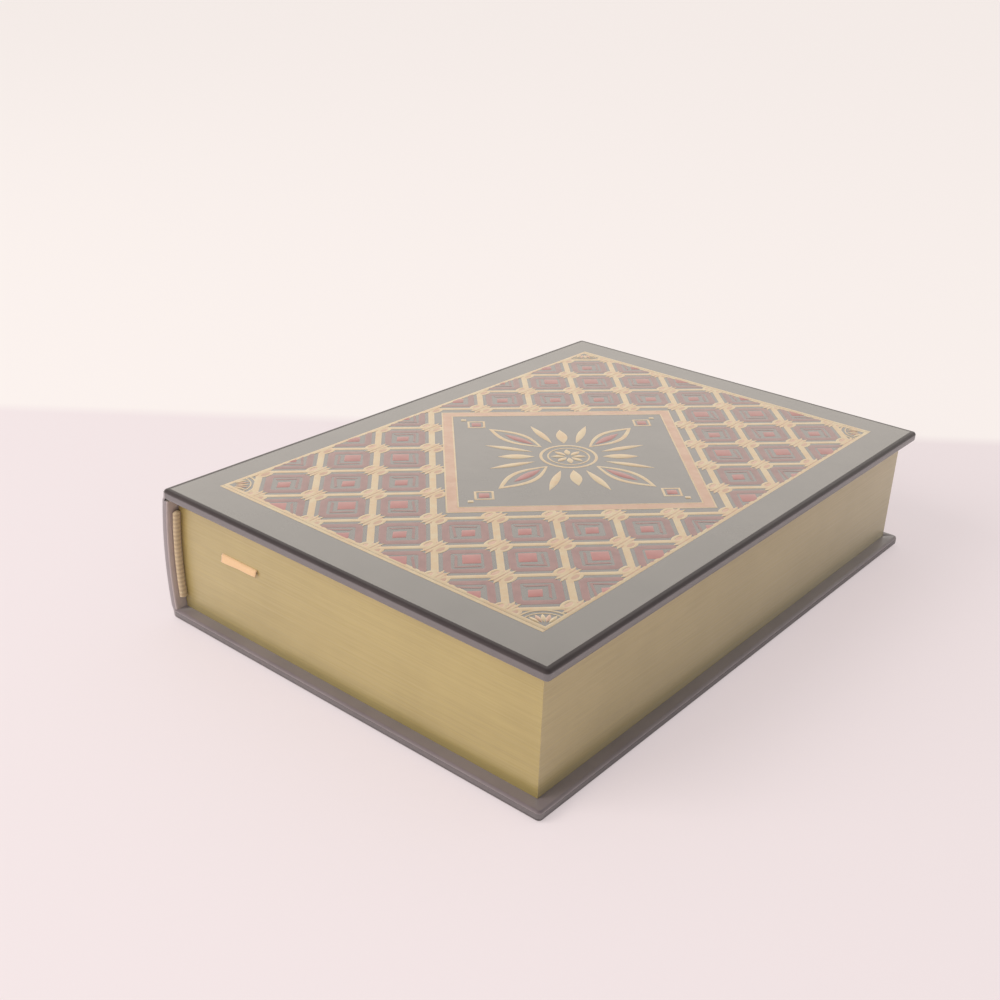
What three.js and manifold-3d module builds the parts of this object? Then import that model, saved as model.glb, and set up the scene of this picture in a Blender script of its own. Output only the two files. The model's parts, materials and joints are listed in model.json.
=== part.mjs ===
// Book diversion safe: a leather-bound book with gilt edges whose page block is hollow and holds a
// steel box with a three-dial combination lock. It lies closed on its back cover.
// Millimetres. +Z is up, +X runs from the spine to the fore-edge, +Y from the tail edge to the head
// edge. The origin is at the middle of the underside.

import * as THREE from 'three';
import { mergeVertices } from 'three/addons/utils/BufferGeometryUtils.js';
import Module from 'manifold-3d';

// The closed book
const coverLength = 235;
const coverWidth = 164;
const bookThickness = 49.4;
const spineBulge = 2.2;

// The cover boards and their leather
const boardThickness = 2.4;
const leatherThickness = 0.7;
const leatherTurnIn = 14;
const cornerRadius = 1.5;
const edgeRadius = 0.9;
const pastedownMargin = 0.4;

// The spine
const spineBoardThickness = 2.3;
const spineGlueGap = 0.3;
const coverHingeGap = 0.3;

// The page block
const square = 4.5;
const flyleafThickness = 0.4;
const spineWall = 17;
const foreWall = 12;
const endWall = 18;
const ribbonLevel = 32;

// The ribbon marker and the head and tail bands
const ribbonWidth = 17.6;
const ribbonFromSpine = 24.8;
const ribbonThickness = 0.5;
const ribbonHeldLength = 15;
const ribbonDrop = 2.7;
const ribbonProud = 1.2;
const bandWidth = 2.2;
const bandProud = 2;
const bandEndMargin = 4;

// The steel box
const trayClearance = 0.5;
const trayWall = 1.2;
const trayCorner = 3;
const trayFlange = 6;
const lidThickness = 1.2;
const feltThickness = 2;
const feltMargin = 0.5;

// The lid hinge
const barrelRadius = 2;
const barrelInset = 0.2;
const hingePinRadius = 1;
const hingePinPlay = 0.1;
const hingeLength = 130;
const hingeGap = 0.4;

// The rivets that hold the box to the back board
const rivetHeadRadius = 3.4;
const rivetHeadHeight = 1.1;
const rivetShankRadius = 1.6;
const rivetPlay = 0.3;
const rivetInset = 22;

// The dial lock
const dialRadius = 7;
const dialWidth = 5;
const dialSpacing = 8.4;
const dialProud = 2.1;
const dialHeadroom = 0.7;
const dialNotch = 0.5;
const dialFromFore = 29;
const dialPlay = 0.6;
const shaftRadius = 1.5;
const shaftPlay = 0.1;
const caseWall = 1;
const caseMargin = 2;
const caseDepthRoom = 0.6;
const caseEar = 8;
const caseScrewRadius = 1.2;
const caseScrewHeadRadius = 2.4;
const caseScrewHeadHeight = 1.3;
const springThickness = 0.4;
const springBump = 0.9;
const springGap = 0.3;
const escutcheonThickness = 0.7;
const escutcheonMargin = 4;

// The bolt and its slide knob
const boltTravel = 4;
const boltWidth = 12;
const boltThickness = 2.5;
const boltClearance = 0.5;
const boltShyOfFlange = 0.8;
const stemLength = 4;
const stemWidth = 6;
const knobLength = 8;
const knobWidth = 13;
const knobHeight = 1.5;
const knobRib = 0.5;

// One overrun serves every cut, one gap every pair of faces that slide or rest near each other
const overrun = 1;
const seatGap = 0.3;

// Facet counts
const spineSegments = 12;
const cornerSegments = 3;
const bevelSegments = 2;
const barrelSides = 20;
const pinSides = 16;
const rivetSides = 12;
const dialNumbers = 10;
const knuckleCount = 5;
const dialCount = 3;
const knobRibCount = 4;

// Heights worked out from the table upwards
const coverThickness = boardThickness + 2 * leatherThickness;
const flyleafTop = bookThickness - coverThickness;
const pagesTop = flyleafTop - flyleafThickness;
const spineTop = flyleafTop - coverHingeGap;
const dialTop = flyleafTop - dialHeadroom;
const lidTop = dialTop - dialProud;
const rimTop = lidTop - lidThickness;
const dialAxisHeight = dialTop - dialRadius;
const caseFloorTop = dialAxisHeight - dialRadius - caseDepthRoom;

// Plan places measured from the spine shoulder and the tail edge
const blockRight = coverWidth - square;
const blockTail = square;
const blockHead = coverLength - square;
const hollow = {
  left: spineWall,
  right: blockRight - foreWall,
  tail: blockTail + endWall,
  head: blockHead - endWall,
};
const tray = {
  left: hollow.left + trayClearance,
  right: hollow.right - trayClearance,
  tail: hollow.tail + trayClearance,
  head: hollow.head - trayClearance,
};
const middle = coverLength / 2;
const barrelX = tray.left + barrelRadius + barrelInset;
const barrelHeight = lidTop;
const lidLeft = barrelX + barrelRadius + seatGap;
const dialX = tray.right - dialFromFore;
const flangeEdge = tray.right - trayWall - trayFlange;

const wasm = await Module();
wasm.setup();

// A closed geometry as a solid that can be joined and cut
function solidOf(geometry) {
  const bare = geometry.clone();
  bare.deleteAttribute('normal');
  bare.deleteAttribute('uv');
  const merged = mergeVertices(bare);
  return new wasm.Manifold(new wasm.Mesh({
    numProp: 3,
    vertProperties: new Float32Array(merged.attributes.position.array),
    triVerts: new Uint32Array(merged.index.array),
  }));
}

function geometryOf(solid) {
  const mesh = solid.getMesh();
  const geometry = new THREE.BufferGeometry();
  geometry.setAttribute('position', new THREE.BufferAttribute(mesh.vertProperties, mesh.numProp));
  geometry.setIndex(new THREE.BufferAttribute(mesh.triVerts, 1));
  const flat = geometry.toNonIndexed();
  flat.computeVertexNormals();
  return flat;
}

// A box between two corners
function block(left, right, tail, head, bottom, top) {
  const geometry = new THREE.BoxGeometry(right - left, head - tail, top - bottom);
  geometry.translate((left + right) / 2, (tail + head) / 2, (bottom + top) / 2);
  return solidOf(geometry);
}

// A cylinder along Y between two places
function rodAlongY(radius, x, z, tail, head, sides) {
  const geometry = new THREE.CylinderGeometry(radius, radius, head - tail, sides);
  geometry.translate(x, (tail + head) / 2, z);
  return solidOf(geometry);
}

// A cylinder along Z
function post(radius, x, y, bottom, top, sides) {
  const geometry = new THREE.CylinderGeometry(radius, radius, top - bottom, sides);
  geometry.rotateX(Math.PI / 2);
  geometry.translate(x, y, (bottom + top) / 2);
  return solidOf(geometry);
}

// A rectangle with round corners, drawn in plan
function roundedRectangle(left, right, tail, head, radius) {
  const shape = new THREE.Shape();
  shape.moveTo(left + radius, tail);
  shape.lineTo(right - radius, tail);
  shape.absarc(right - radius, tail + radius, radius, -Math.PI / 2, 0, false);
  shape.lineTo(right, head - radius);
  shape.absarc(right - radius, head - radius, radius, 0, Math.PI / 2, false);
  shape.lineTo(left + radius, head);
  shape.absarc(left + radius, head - radius, radius, Math.PI / 2, Math.PI, false);
  shape.lineTo(left, tail + radius);
  shape.absarc(left + radius, tail + radius, radius, Math.PI, 1.5 * Math.PI, false);
  return shape;
}

// A plate of a plan outline, standing on a height
function plate(shape, bottom, top) {
  const geometry = new THREE.ExtrudeGeometry(shape, {
    depth: top - bottom,
    bevelEnabled: false,
    curveSegments: cornerSegments,
  });
  geometry.translate(0, 0, bottom);
  return solidOf(geometry);
}

// A slab with round corners in plan and rounded upper and lower edges
function roundedSlab(left, right, tail, head, bottom, top) {
  const r = Math.min(edgeRadius, (top - bottom) / 3);
  const planRadius = Math.max(cornerRadius - r, r / 2);
  const shape = roundedRectangle(left + r, right - r, tail + r, head - r, planRadius);
  const geometry = new THREE.ExtrudeGeometry(shape, {
    depth: top - bottom - 2 * r,
    bevelEnabled: true,
    bevelSize: r,
    bevelThickness: r,
    bevelSegments,
    curveSegments: cornerSegments,
  });
  geometry.translate(0, 0, bottom + r);
  return solidOf(geometry);
}

// An outline in X and Z carried along Y
function extrudeAlongY(outline, tail, head) {
  const shape = new THREE.Shape(outline.map(([x, z]) => new THREE.Vector2(x, z)));
  const geometry = new THREE.ExtrudeGeometry(shape, { depth: head - tail, bevelEnabled: false });
  geometry.rotateX(Math.PI / 2);
  geometry.translate(0, head, 0);
  return solidOf(geometry);
}

// The outer face of the spine at a height: a parabola that is flush with the boards' spine edges at
// the top and bottom of the book and stands spineBulge proud half way up
function spineFace(height) {
  const across = 2 * height / bookThickness - 1;
  return -spineBulge * (1 - across * across);
}

// Points up the spine face, moved inwards by a depth
function spinePoints(depth, bottom, top) {
  const points = [];
  for (let step = 0; step <= spineSegments; step += 1) {
    const height = bottom + (top - bottom) * step / spineSegments;
    points.push([spineFace(height) + depth, height]);
  }
  return points;
}

// A curved layer of the spine between two depths
function spineLayer(outerDepth, innerDepth, bottom, top, tail, head) {
  const outer = spinePoints(outerDepth, bottom, top);
  const inner = spinePoints(innerDepth, bottom, top).reverse();
  return extrudeAlongY([...outer, ...inner], tail, head);
}

// A leather skin wrapped round a cover board, turned in over its edges on the side of the pages
function coverLeather(bottom, top, pagesAbove) {
  const skin = roundedSlab(0, coverWidth, 0, coverLength, bottom, top);
  const half = (bottom + top) / 2;
  const windowBottom = pagesAbove ? half : bottom - overrun;
  const windowTop = pagesAbove ? top + overrun : half;
  const inset = leatherTurnIn;
  const window = block(inset, coverWidth - inset, inset, coverLength - inset, windowBottom, windowTop);
  return skin.subtract(coverBoard(bottom, top).add(window));
}

function coverBoard(bottom, top) {
  const t = leatherThickness;
  return block(t, coverWidth - t, t, coverLength - t, bottom + t, top - t);
}

// The paper that fills the window between the leather turn-ins
function pastedown(bottom) {
  const inset = leatherTurnIn + pastedownMargin;
  const right = coverWidth - inset;
  const head = coverLength - inset;
  return block(inset, right, inset, head, bottom, bottom + leatherThickness);
}

// A layer of the hollow page block, rounded along the spine
function pageLayer(bottom, top) {
  const glued = leatherThickness + spineBoardThickness + spineGlueGap;
  const outline = [...spinePoints(glued, bottom, top), [blockRight, top], [blockRight, bottom]];
  const whole = extrudeAlongY(outline, blockTail, blockHead);
  const below = bottom - overrun;
  const hole = block(hollow.left, hollow.right, hollow.tail, hollow.head, below, top + overrun);
  return whole.subtract(hole);
}

function upperPages() {
  const slotTop = ribbonLevel + ribbonThickness + seatGap;
  const left = ribbonFromSpine - seatGap;
  const right = ribbonFromSpine + ribbonWidth + seatGap;
  const slotEnd = blockTail + ribbonHeldLength + seatGap;
  const slot = block(left, right, blockTail - overrun, slotEnd, ribbonLevel - overrun, slotTop);
  return pageLayer(ribbonLevel, pagesTop).subtract(slot);
}

function ribbonMarker() {
  const right = ribbonFromSpine + ribbonWidth;
  const front = blockTail - ribbonProud;
  const top = ribbonLevel + ribbonThickness;
  const held = block(ribbonFromSpine, right, front, blockTail + ribbonHeldLength, ribbonLevel, top);
  const drop = block(ribbonFromSpine, right, front, front + ribbonThickness, top - ribbonDrop, top);
  return held.add(drop);
}

// The rolled band at one end of the page block, against its spine side
function endBand(tail, head) {
  const start = leatherThickness + spineBoardThickness + spineGlueGap;
  const bottom = coverThickness + bandEndMargin;
  const top = pagesTop - bandEndMargin;
  return spineLayer(start, start + bandWidth, bottom, top, tail, head);
}

// The leather round the outside of the spine board, turned over its two ends
function spineLeather() {
  const skin = leatherThickness;
  const deep = skin + spineBoardThickness;
  const face = spineLayer(0, skin, coverThickness, spineTop, 0, coverLength);
  const tailCap = spineLayer(0, deep, coverThickness, spineTop, 0, skin);
  const headCap = spineLayer(0, deep, coverThickness, spineTop, coverLength - skin, coverLength);
  return face.add(tailCap).add(headCap);
}

function spineBoard() {
  const skin = leatherThickness;
  const deep = skin + spineBoardThickness;
  return spineLayer(skin, deep, coverThickness, spineTop, skin, coverLength - skin);
}

// The four rivet places on the floor of the box
function rivetPlaces() {
  const places = [];
  for (const x of [tray.left + rivetInset, tray.right - rivetInset]) {
    for (const y of [tray.tail + rivetInset, tray.head - rivetInset]) {
      places.push([x, y]);
    }
  }
  return places;
}

// Cuts for the rivet shanks through a layer
function cutRivetHoles(layer, bottom, top) {
  let cut = layer;
  for (const [x, y] of rivetPlaces()) {
    const radius = rivetShankRadius + rivetPlay;
    cut = cut.subtract(post(radius, x, y, bottom - overrun, top + overrun, rivetSides));
  }
  return cut;
}

const trayFloorTop = coverThickness + trayWall;
const rivetBottom = leatherThickness + seatGap;

// One solid fastener turned from a profile of radius and height, standing at a place
function turned(profile, [x, y]) {
  const outline = profile.map(([radius, height]) => new THREE.Vector2(radius, height));
  const geometry = new THREE.LatheGeometry(outline, rivetSides);
  geometry.rotateX(Math.PI / 2);
  geometry.translate(x, y, 0);
  return solidOf(geometry);
}

function trayRivet(place) {
  const profile = [
    [0, rivetBottom],
    [rivetShankRadius, rivetBottom],
    [rivetShankRadius, trayFloorTop],
    [rivetHeadRadius, trayFloorTop],
    [rivetHeadRadius, trayFloorTop + rivetHeadHeight / 2],
    [rivetHeadRadius / 2, trayFloorTop + rivetHeadHeight],
    [0, trayFloorTop + rivetHeadHeight],
  ];
  return turned(profile, place);
}

// The knuckles of the lid hinge take turns, and every other one belongs to the box
function knuckleSpan(index) {
  const pitch = hingeLength / knuckleCount;
  const start = middle - hingeLength / 2 + pitch * index;
  return [start + hingeGap / 2, start + pitch - hingeGap / 2];
}

function hingeBore() {
  const reach = hingeLength / 2 + overrun;
  const radius = hingePinRadius + hingePinPlay;
  return rodAlongY(radius, barrelX, barrelHeight, middle - reach, middle + reach, pinSides);
}

// The outline of the box in plan, moved inwards by an inset
function trayOutline(inset, radius) {
  return roundedRectangle(
    tray.left + inset, tray.right - inset, tray.tail + inset, tray.head - inset, radius,
  );
}

// A folded steel box with an inward flange round its mouth, and its half of the hinge knuckles
function boxTray() {
  const outer = plate(trayOutline(0, trayCorner), coverThickness, rimTop);
  const inner = plate(trayOutline(trayWall, trayCorner / 2), trayFloorTop, rimTop - trayWall);
  const mouth = plate(trayOutline(trayWall + trayFlange, trayCorner / 2), trayFloorTop, rimTop + overrun);
  let body = cutRivetHoles(outer.subtract(inner).subtract(mouth), coverThickness, trayFloorTop);
  const reach = hingeLength / 2 + seatGap;
  const cutBottom = barrelHeight - barrelRadius - seatGap;
  const cutRight = lidLeft + seatGap;
  const cutLeft = tray.left - overrun;
  const notch = block(cutLeft, cutRight, middle - reach, middle + reach, cutBottom, rimTop + overrun);
  body = body.subtract(notch);
  for (let index = 0; index < knuckleCount; index += 2) {
    const [tail, head] = knuckleSpan(index);
    const barrel = rodAlongY(barrelRadius, barrelX, barrelHeight, tail, head, barrelSides);
    const web = block(tray.left, tray.left + trayWall, tail, head, cutBottom - trayWall, barrelHeight);
    body = body.add(barrel).add(web);
  }
  return body.subtract(hingeBore());
}

function feltPad() {
  const top = trayFloorTop + feltThickness;
  let pad = plate(trayOutline(trayWall + feltMargin, trayCorner / 2), trayFloorTop, top);
  for (const [x, y] of rivetPlaces()) {
    const pocketTop = trayFloorTop + rivetHeadHeight + seatGap;
    const radius = rivetHeadRadius + seatGap;
    pad = pad.subtract(post(radius, x, y, trayFloorTop - overrun, pocketTop, rivetSides));
  }
  return pad;
}

// Places of the dials along the shaft
const dialPlaces = [];
for (let index = 0; index < dialCount; index += 1) {
  dialPlaces.push(middle + (index - (dialCount - 1) / 2) * dialSpacing);
}

// How far a dial reaches either side of its shaft at a height
function dialHalfChord(height) {
  const rise = height - dialAxisHeight;
  return Math.sqrt(dialRadius * dialRadius - rise * rise);
}

// A slot for each dial through a plate
function cutDialSlots(body, bottom, top) {
  let cut = body;
  for (const y of dialPlaces) {
    const reach = dialHalfChord(bottom) + dialPlay;
    const side = dialWidth / 2 + dialPlay;
    const under = bottom - overrun;
    cut = cut.subtract(block(dialX - reach, dialX + reach, y - side, y + side, under, top + overrun));
  }
  return cut;
}

// The lock case under the lid
const lockCase = {
  left: dialX - dialRadius - caseMargin - caseWall,
  right: dialX + dialRadius + caseMargin + stemLength + boltTravel + caseWall,
  tail: middle - dialCount * dialSpacing / 2 - caseMargin - caseWall,
  head: middle + dialCount * dialSpacing / 2 + caseMargin + caseWall,
  bottom: caseFloorTop - caseWall,
};

// The bolt slides under the flange of the box; at rest it is drawn back
const boltTip = flangeEdge - boltShyOfFlange;
const boltTop = rimTop - trayWall - boltClearance;
const boltBottom = boltTop - boltThickness;
const stemLeft = dialX + dialRadius + caseMargin / 2 + dialPlay;
const stemRight = stemLeft + stemLength;
const escutcheonTop = lidTop + escutcheonThickness;
const knobBottom = escutcheonTop + seatGap / 2;
const knobRight = stemRight + (knobLength - stemLength) / 2;

// A slot along which the knob's stem slides, through a plate
function cutStemSlot(body, bottom, top) {
  const side = stemWidth / 2 + seatGap;
  const left = stemLeft - seatGap;
  const right = stemRight + boltTravel + seatGap;
  const under = bottom - overrun;
  return body.subtract(block(left, right, middle - side, middle + side, under, top + overrun));
}

function lidPlate() {
  const outline = roundedRectangle(lidLeft, tray.right, tray.tail, tray.head, trayCorner);
  let body = plate(outline, rimTop, lidTop);
  for (let index = 1; index < knuckleCount; index += 2) {
    const [tail, head] = knuckleSpan(index);
    const barrel = rodAlongY(barrelRadius, barrelX, barrelHeight, tail, head, barrelSides);
    const tab = block(barrelX, lidLeft + lidThickness, tail, head, rimTop, lidTop);
    body = body.add(barrel).add(tab);
  }
  body = body.subtract(hingeBore());
  body = cutDialSlots(body, rimTop, lidTop);
  body = cutStemSlot(body, rimTop, lidTop);
  return cutScrewHoles(body, rimTop, lidTop);
}

function hingePin() {
  const reach = hingeLength / 2 - hingeGap;
  return rodAlongY(hingePinRadius, barrelX, barrelHeight, middle - reach, middle + reach, pinSides);
}

// Four screws, through the ears at the ends of the case into the lid
function caseScrewPlaces() {
  const places = [];
  const out = caseEar / 2;
  for (const x of [lockCase.left + caseEar / 2, lockCase.right - caseEar / 2]) {
    for (const y of [lockCase.tail - out, lockCase.head + out]) {
      places.push([x, y]);
    }
  }
  return places;
}

// Cuts for the case screws through a layer
function cutScrewHoles(layer, bottom, top) {
  let cut = layer;
  for (const [x, y] of caseScrewPlaces()) {
    const radius = caseScrewRadius + seatGap / 2;
    cut = cut.subtract(post(radius, x, y, bottom - overrun, top + overrun, rivetSides));
  }
  return cut;
}

// An open box under the lid that carries the shaft, with an ear at each end and a slot for the bolt
function lockCaseBody() {
  const { left, right, tail, head, bottom } = lockCase;
  const earBottom = rimTop - caseWall;
  const box = block(left, right, tail, head, bottom, rimTop);
  const ears = block(left, right, tail - caseEar, head + caseEar, earBottom, rimTop);
  const inside = block(
    left + caseWall, right - caseWall, tail + caseWall, head - caseWall, caseFloorTop, rimTop + overrun,
  );
  const side = boltWidth / 2 + seatGap;
  const boltSlot = block(
    right - caseWall - overrun, right + overrun, middle - side, middle + side,
    boltBottom - seatGap, boltTop + seatGap,
  );
  const shaftHole = rodAlongY(
    shaftRadius + shaftPlay, dialX, dialAxisHeight, tail - overrun, head + overrun, pinSides,
  );
  const body = box.add(ears).subtract(inside).subtract(boltSlot).subtract(shaftHole);
  return cutScrewHoles(body, earBottom, rimTop);
}

function caseScrew(place) {
  const seat = rimTop - caseWall;
  const crownShare = 0.8;
  const profile = [
    [0, seat - caseScrewHeadHeight],
    [caseScrewHeadRadius * crownShare, seat - caseScrewHeadHeight],
    [caseScrewHeadRadius, seat - caseScrewHeadHeight / 2],
    [caseScrewHeadRadius, seat],
    [caseScrewRadius, seat],
    [caseScrewRadius, lidTop],
    [0, lidTop],
  ];
  return turned(profile, place);
}

function dialShaft() {
  const tail = lockCase.tail + seatGap / 2;
  const head = lockCase.head - seatGap / 2;
  return rodAlongY(shaftRadius, dialX, dialAxisHeight, tail, head, pinSides);
}

// One dial: a wheel with a flat for each number and a notch between them
function dialWheel(y) {
  const shape = new THREE.Shape();
  const points = [];
  const flatShare = 0.36;
  for (let index = 0; index < dialNumbers; index += 1) {
    const centre = 2 * Math.PI * index / dialNumbers + Math.PI / 2;
    const half = 2 * Math.PI * flatShare / dialNumbers;
    points.push([centre - half, dialRadius]);
    points.push([centre + half, dialRadius]);
    points.push([centre + Math.PI / dialNumbers, dialRadius - dialNotch]);
  }
  shape.setFromPoints(points.map(([angle, radius]) => (
    new THREE.Vector2(radius * Math.cos(angle), radius * Math.sin(angle))
  )));
  const geometry = new THREE.ExtrudeGeometry(shape, { depth: dialWidth, bevelEnabled: false });
  geometry.rotateX(Math.PI / 2);
  geometry.translate(dialX, y + dialWidth / 2, dialAxisHeight);
  const reach = dialWidth / 2 + overrun;
  const bore = rodAlongY(shaftRadius + shaftPlay, dialX, dialAxisHeight, y - reach, y + reach, pinSides);
  return solidOf(geometry).subtract(bore);
}

// A strip of spring steel on the case's rear wall, with a rounded finger towards each dial
function detentSpring() {
  const left = lockCase.left + caseWall;
  const reach = dialCount * dialSpacing / 2;
  const back = left + springThickness;
  const rise = dialRadius / 2;
  const bottom = dialAxisHeight - rise;
  const top = dialAxisHeight + rise;
  let spring = block(left, back, middle - reach, middle + reach, bottom, top);
  const tip = dialX - dialRadius - springGap;
  const radius = tip - back + springBump;
  for (const y of dialPlaces) {
    const side = dialWidth / 4;
    const finger = rodAlongY(radius, tip - radius, dialAxisHeight, y - side, y + side, pinSides);
    const keep = block(left, tip + overrun, y - side, y + side, bottom, top);
    spring = spring.add(finger.intersect(keep));
  }
  return spring;
}

function escutcheon() {
  const reach = dialHalfChord(lidTop) + escutcheonMargin;
  const side = dialCount * dialSpacing / 2 + escutcheonMargin;
  const right = stemRight + boltTravel + escutcheonMargin;
  const outline = roundedRectangle(dialX - reach, right, middle - side, middle + side, trayCorner);
  const body = cutDialSlots(plate(outline, lidTop, escutcheonTop), lidTop, escutcheonTop);
  return cutStemSlot(body, lidTop, escutcheonTop);
}

function lockBolt() {
  const side = boltWidth / 2;
  const rear = stemLeft - caseMargin / 2;
  return block(rear, boltTip, middle - side, middle + side, boltBottom, boltTop);
}

// The knob with its stem, which stands on the bolt
function boltKnob() {
  const stemSide = stemWidth / 2;
  const stemTop = knobBottom + knobHeight / 2;
  const stem = block(stemLeft, stemRight, middle - stemSide, middle + stemSide, boltTop, stemTop);
  const side = knobWidth / 2;
  const left = knobRight - knobLength;
  const top = knobBottom + knobHeight;
  let knob = block(left, knobRight, middle - side, middle + side, knobBottom, top);
  const pitch = knobLength / knobRibCount;
  const half = knobRib / 2;
  const reach = side + overrun;
  for (let index = 1; index < knobRibCount; index += 1) {
    const x = left + pitch * index;
    const groove = block(
      x - half, x + half, middle - reach, middle + reach, top - knobRib, top + overrun,
    );
    knob = knob.subtract(groove);
  }
  return stem.add(knob);
}

// Materials by what they are
function material(color, roughness, metalness) {
  return new THREE.MeshStandardMaterial({ color, roughness, metalness });
}

const materials = {
  leather: material('#2a2625', 0.55, 0),
  board: material('#8f8676', 0.9, 0),
  endpaper: material('#e7dcc2', 0.85, 0),
  gilt: material('#bfa36a', 0.38, 0.6),
  ribbon: material('#e3a078', 0.6, 0),
  band: material('#b9a27a', 0.8, 0),
  steel: material('#3b3f42', 0.5, 0.3),
  zinc: material('#b8bcc0', 0.35, 1),
  felt: material('#5a1420', 0.95, 0),
  brass: material('#b98f4a', 0.35, 1),
  dial: material('#1f2022', 0.45, 0),
};

// A named mesh from a solid or from a geometry that is already closed
function piece(name, shape, finish) {
  const geometry = shape.isBufferGeometry ? shape : geometryOf(shape);
  const mesh = new THREE.Mesh(geometry, materials[finish]);
  mesh.name = name;
  return mesh;
}

// The fixed part of the book: back cover, spine, page block and the box in its hollow
function bookBody() {
  const group = new THREE.Group();
  const backBoard = cutRivetHoles(coverBoard(0, coverThickness), rivetBottom + overrun, coverThickness);
  const backPaper = cutRivetHoles(pastedown(coverThickness - leatherThickness), 0, coverThickness);
  const leaf = block(
    leatherThickness + spineBoardThickness, blockRight, blockTail, blockHead, pagesTop, flyleafTop,
  );
  const opening = block(hollow.left, hollow.right, hollow.tail, hollow.head, 0, bookThickness);
  group.add(
    piece('back_board', backBoard, 'board'),
    piece('back_leather', coverLeather(0, coverThickness, true), 'leather'),
    piece('back_pastedown', backPaper, 'endpaper'),
    piece('spine_board', spineBoard(), 'board'),
    piece('spine_leather', spineLeather(), 'leather'),
    piece('lower_pages', pageLayer(coverThickness, ribbonLevel), 'gilt'),
    piece('upper_pages', upperPages(), 'gilt'),
    piece('front_flyleaf', leaf.subtract(opening), 'endpaper'),
    piece('tailband', endBand(blockTail - bandProud, blockTail), 'band'),
    piece('headband', endBand(blockHead, blockHead + bandProud), 'band'),
    piece('ribbon_marker', ribbonMarker(), 'ribbon'),
    piece('box_tray', boxTray(), 'steel'),
    piece('felt_pad', feltPad(), 'felt'),
    piece('lid_hinge_pin', hingePin(), 'zinc'),
  );
  rivetPlaces().forEach((place, index) => {
    group.add(piece(`tray_rivet_${index + 1}`, trayRivet(place), 'zinc'));
  });
  return group;
}

// The front cover, which swings about a line just outside the spine
function frontCover() {
  const group = new THREE.Group();
  group.add(
    piece('front_board', coverBoard(flyleafTop, bookThickness), 'board'),
    piece('front_leather', coverLeather(flyleafTop, bookThickness, false), 'leather'),
    piece('front_pastedown', pastedown(flyleafTop), 'endpaper'),
  );
  return group;
}

// The lid of the box and the lock on it
function boxLid() {
  const group = new THREE.Group();
  group.add(
    piece('box_lid', lidPlate(), 'steel'),
    piece('escutcheon', escutcheon(), 'brass'),
    piece('lock_case', lockCaseBody(), 'zinc'),
    piece('dial_shaft', dialShaft(), 'zinc'),
    piece('detent_spring', detentSpring(), 'zinc'),
    piece('lock_bolt', lockBolt(), 'zinc'),
    piece('bolt_knob', boltKnob(), 'brass'),
  );
  caseScrewPlaces().forEach((place, index) => {
    group.add(piece(`case_screw_${index + 1}`, caseScrew(place), 'zinc'));
  });
  dialPlaces.forEach((y, index) => {
    group.add(piece(`dial_${index + 1}`, dialWheel(y), 'dial'));
  });
  return group;
}

const book = new THREE.Group();
book.add(bookBody(), frontCover(), boxLid());
book.position.set(-(coverWidth - spineBulge) / 2, -coverLength / 2, 0);

export default book;
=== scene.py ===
# %% [markdown]
# # A gilt-edged book that hides a lock box
# The object is a closed, leather-bound book lying on its back cover. Its leaves are glued
# into a block and hollowed out, and a small steel box with a number lock sits in the hollow.
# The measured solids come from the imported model. It is loaded first, because every piece is
# placed by it and moves with its bodies. Some solids stay, and leather, gold, thread, felt and
# paint are laid over the rest.

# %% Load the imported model
import json
import math

import bmesh
import bpy
import numpy as np
from mathutils import Matrix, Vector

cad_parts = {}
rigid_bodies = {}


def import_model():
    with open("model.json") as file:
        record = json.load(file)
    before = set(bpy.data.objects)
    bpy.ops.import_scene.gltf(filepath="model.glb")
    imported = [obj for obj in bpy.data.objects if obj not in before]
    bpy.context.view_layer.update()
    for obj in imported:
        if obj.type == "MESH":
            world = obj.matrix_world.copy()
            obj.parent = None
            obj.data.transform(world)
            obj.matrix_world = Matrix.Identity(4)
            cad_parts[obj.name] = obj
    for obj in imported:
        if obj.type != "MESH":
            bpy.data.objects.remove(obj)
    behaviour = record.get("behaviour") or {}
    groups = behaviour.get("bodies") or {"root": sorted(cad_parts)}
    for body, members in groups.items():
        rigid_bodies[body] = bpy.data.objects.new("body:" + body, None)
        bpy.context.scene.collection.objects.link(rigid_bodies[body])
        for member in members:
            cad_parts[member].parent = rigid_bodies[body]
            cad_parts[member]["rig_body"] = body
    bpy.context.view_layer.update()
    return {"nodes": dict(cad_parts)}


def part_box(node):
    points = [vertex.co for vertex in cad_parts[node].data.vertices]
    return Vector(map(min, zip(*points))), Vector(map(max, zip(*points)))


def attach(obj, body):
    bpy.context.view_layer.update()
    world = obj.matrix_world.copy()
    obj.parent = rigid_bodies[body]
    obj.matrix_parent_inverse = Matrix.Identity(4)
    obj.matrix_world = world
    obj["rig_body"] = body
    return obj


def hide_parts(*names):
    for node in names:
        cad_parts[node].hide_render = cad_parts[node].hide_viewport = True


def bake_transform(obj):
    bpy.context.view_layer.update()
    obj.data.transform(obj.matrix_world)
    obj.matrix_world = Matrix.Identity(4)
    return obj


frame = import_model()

# %% [markdown]
# ## Sizes
# All lengths below are millimetres, as a bookbinder would write them, and one factor turns
# them to metres when a mesh is made. The main ones are read off the solids, so the dressing
# follows the model if it is packed again.

# %% Sizes read from the solids
MM = 0.001


def span(node):
    """Lowest and highest corner of a solid, in millimetres."""
    low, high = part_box(node)
    return np.array(low) / MM, np.array(high) / MM


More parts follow.
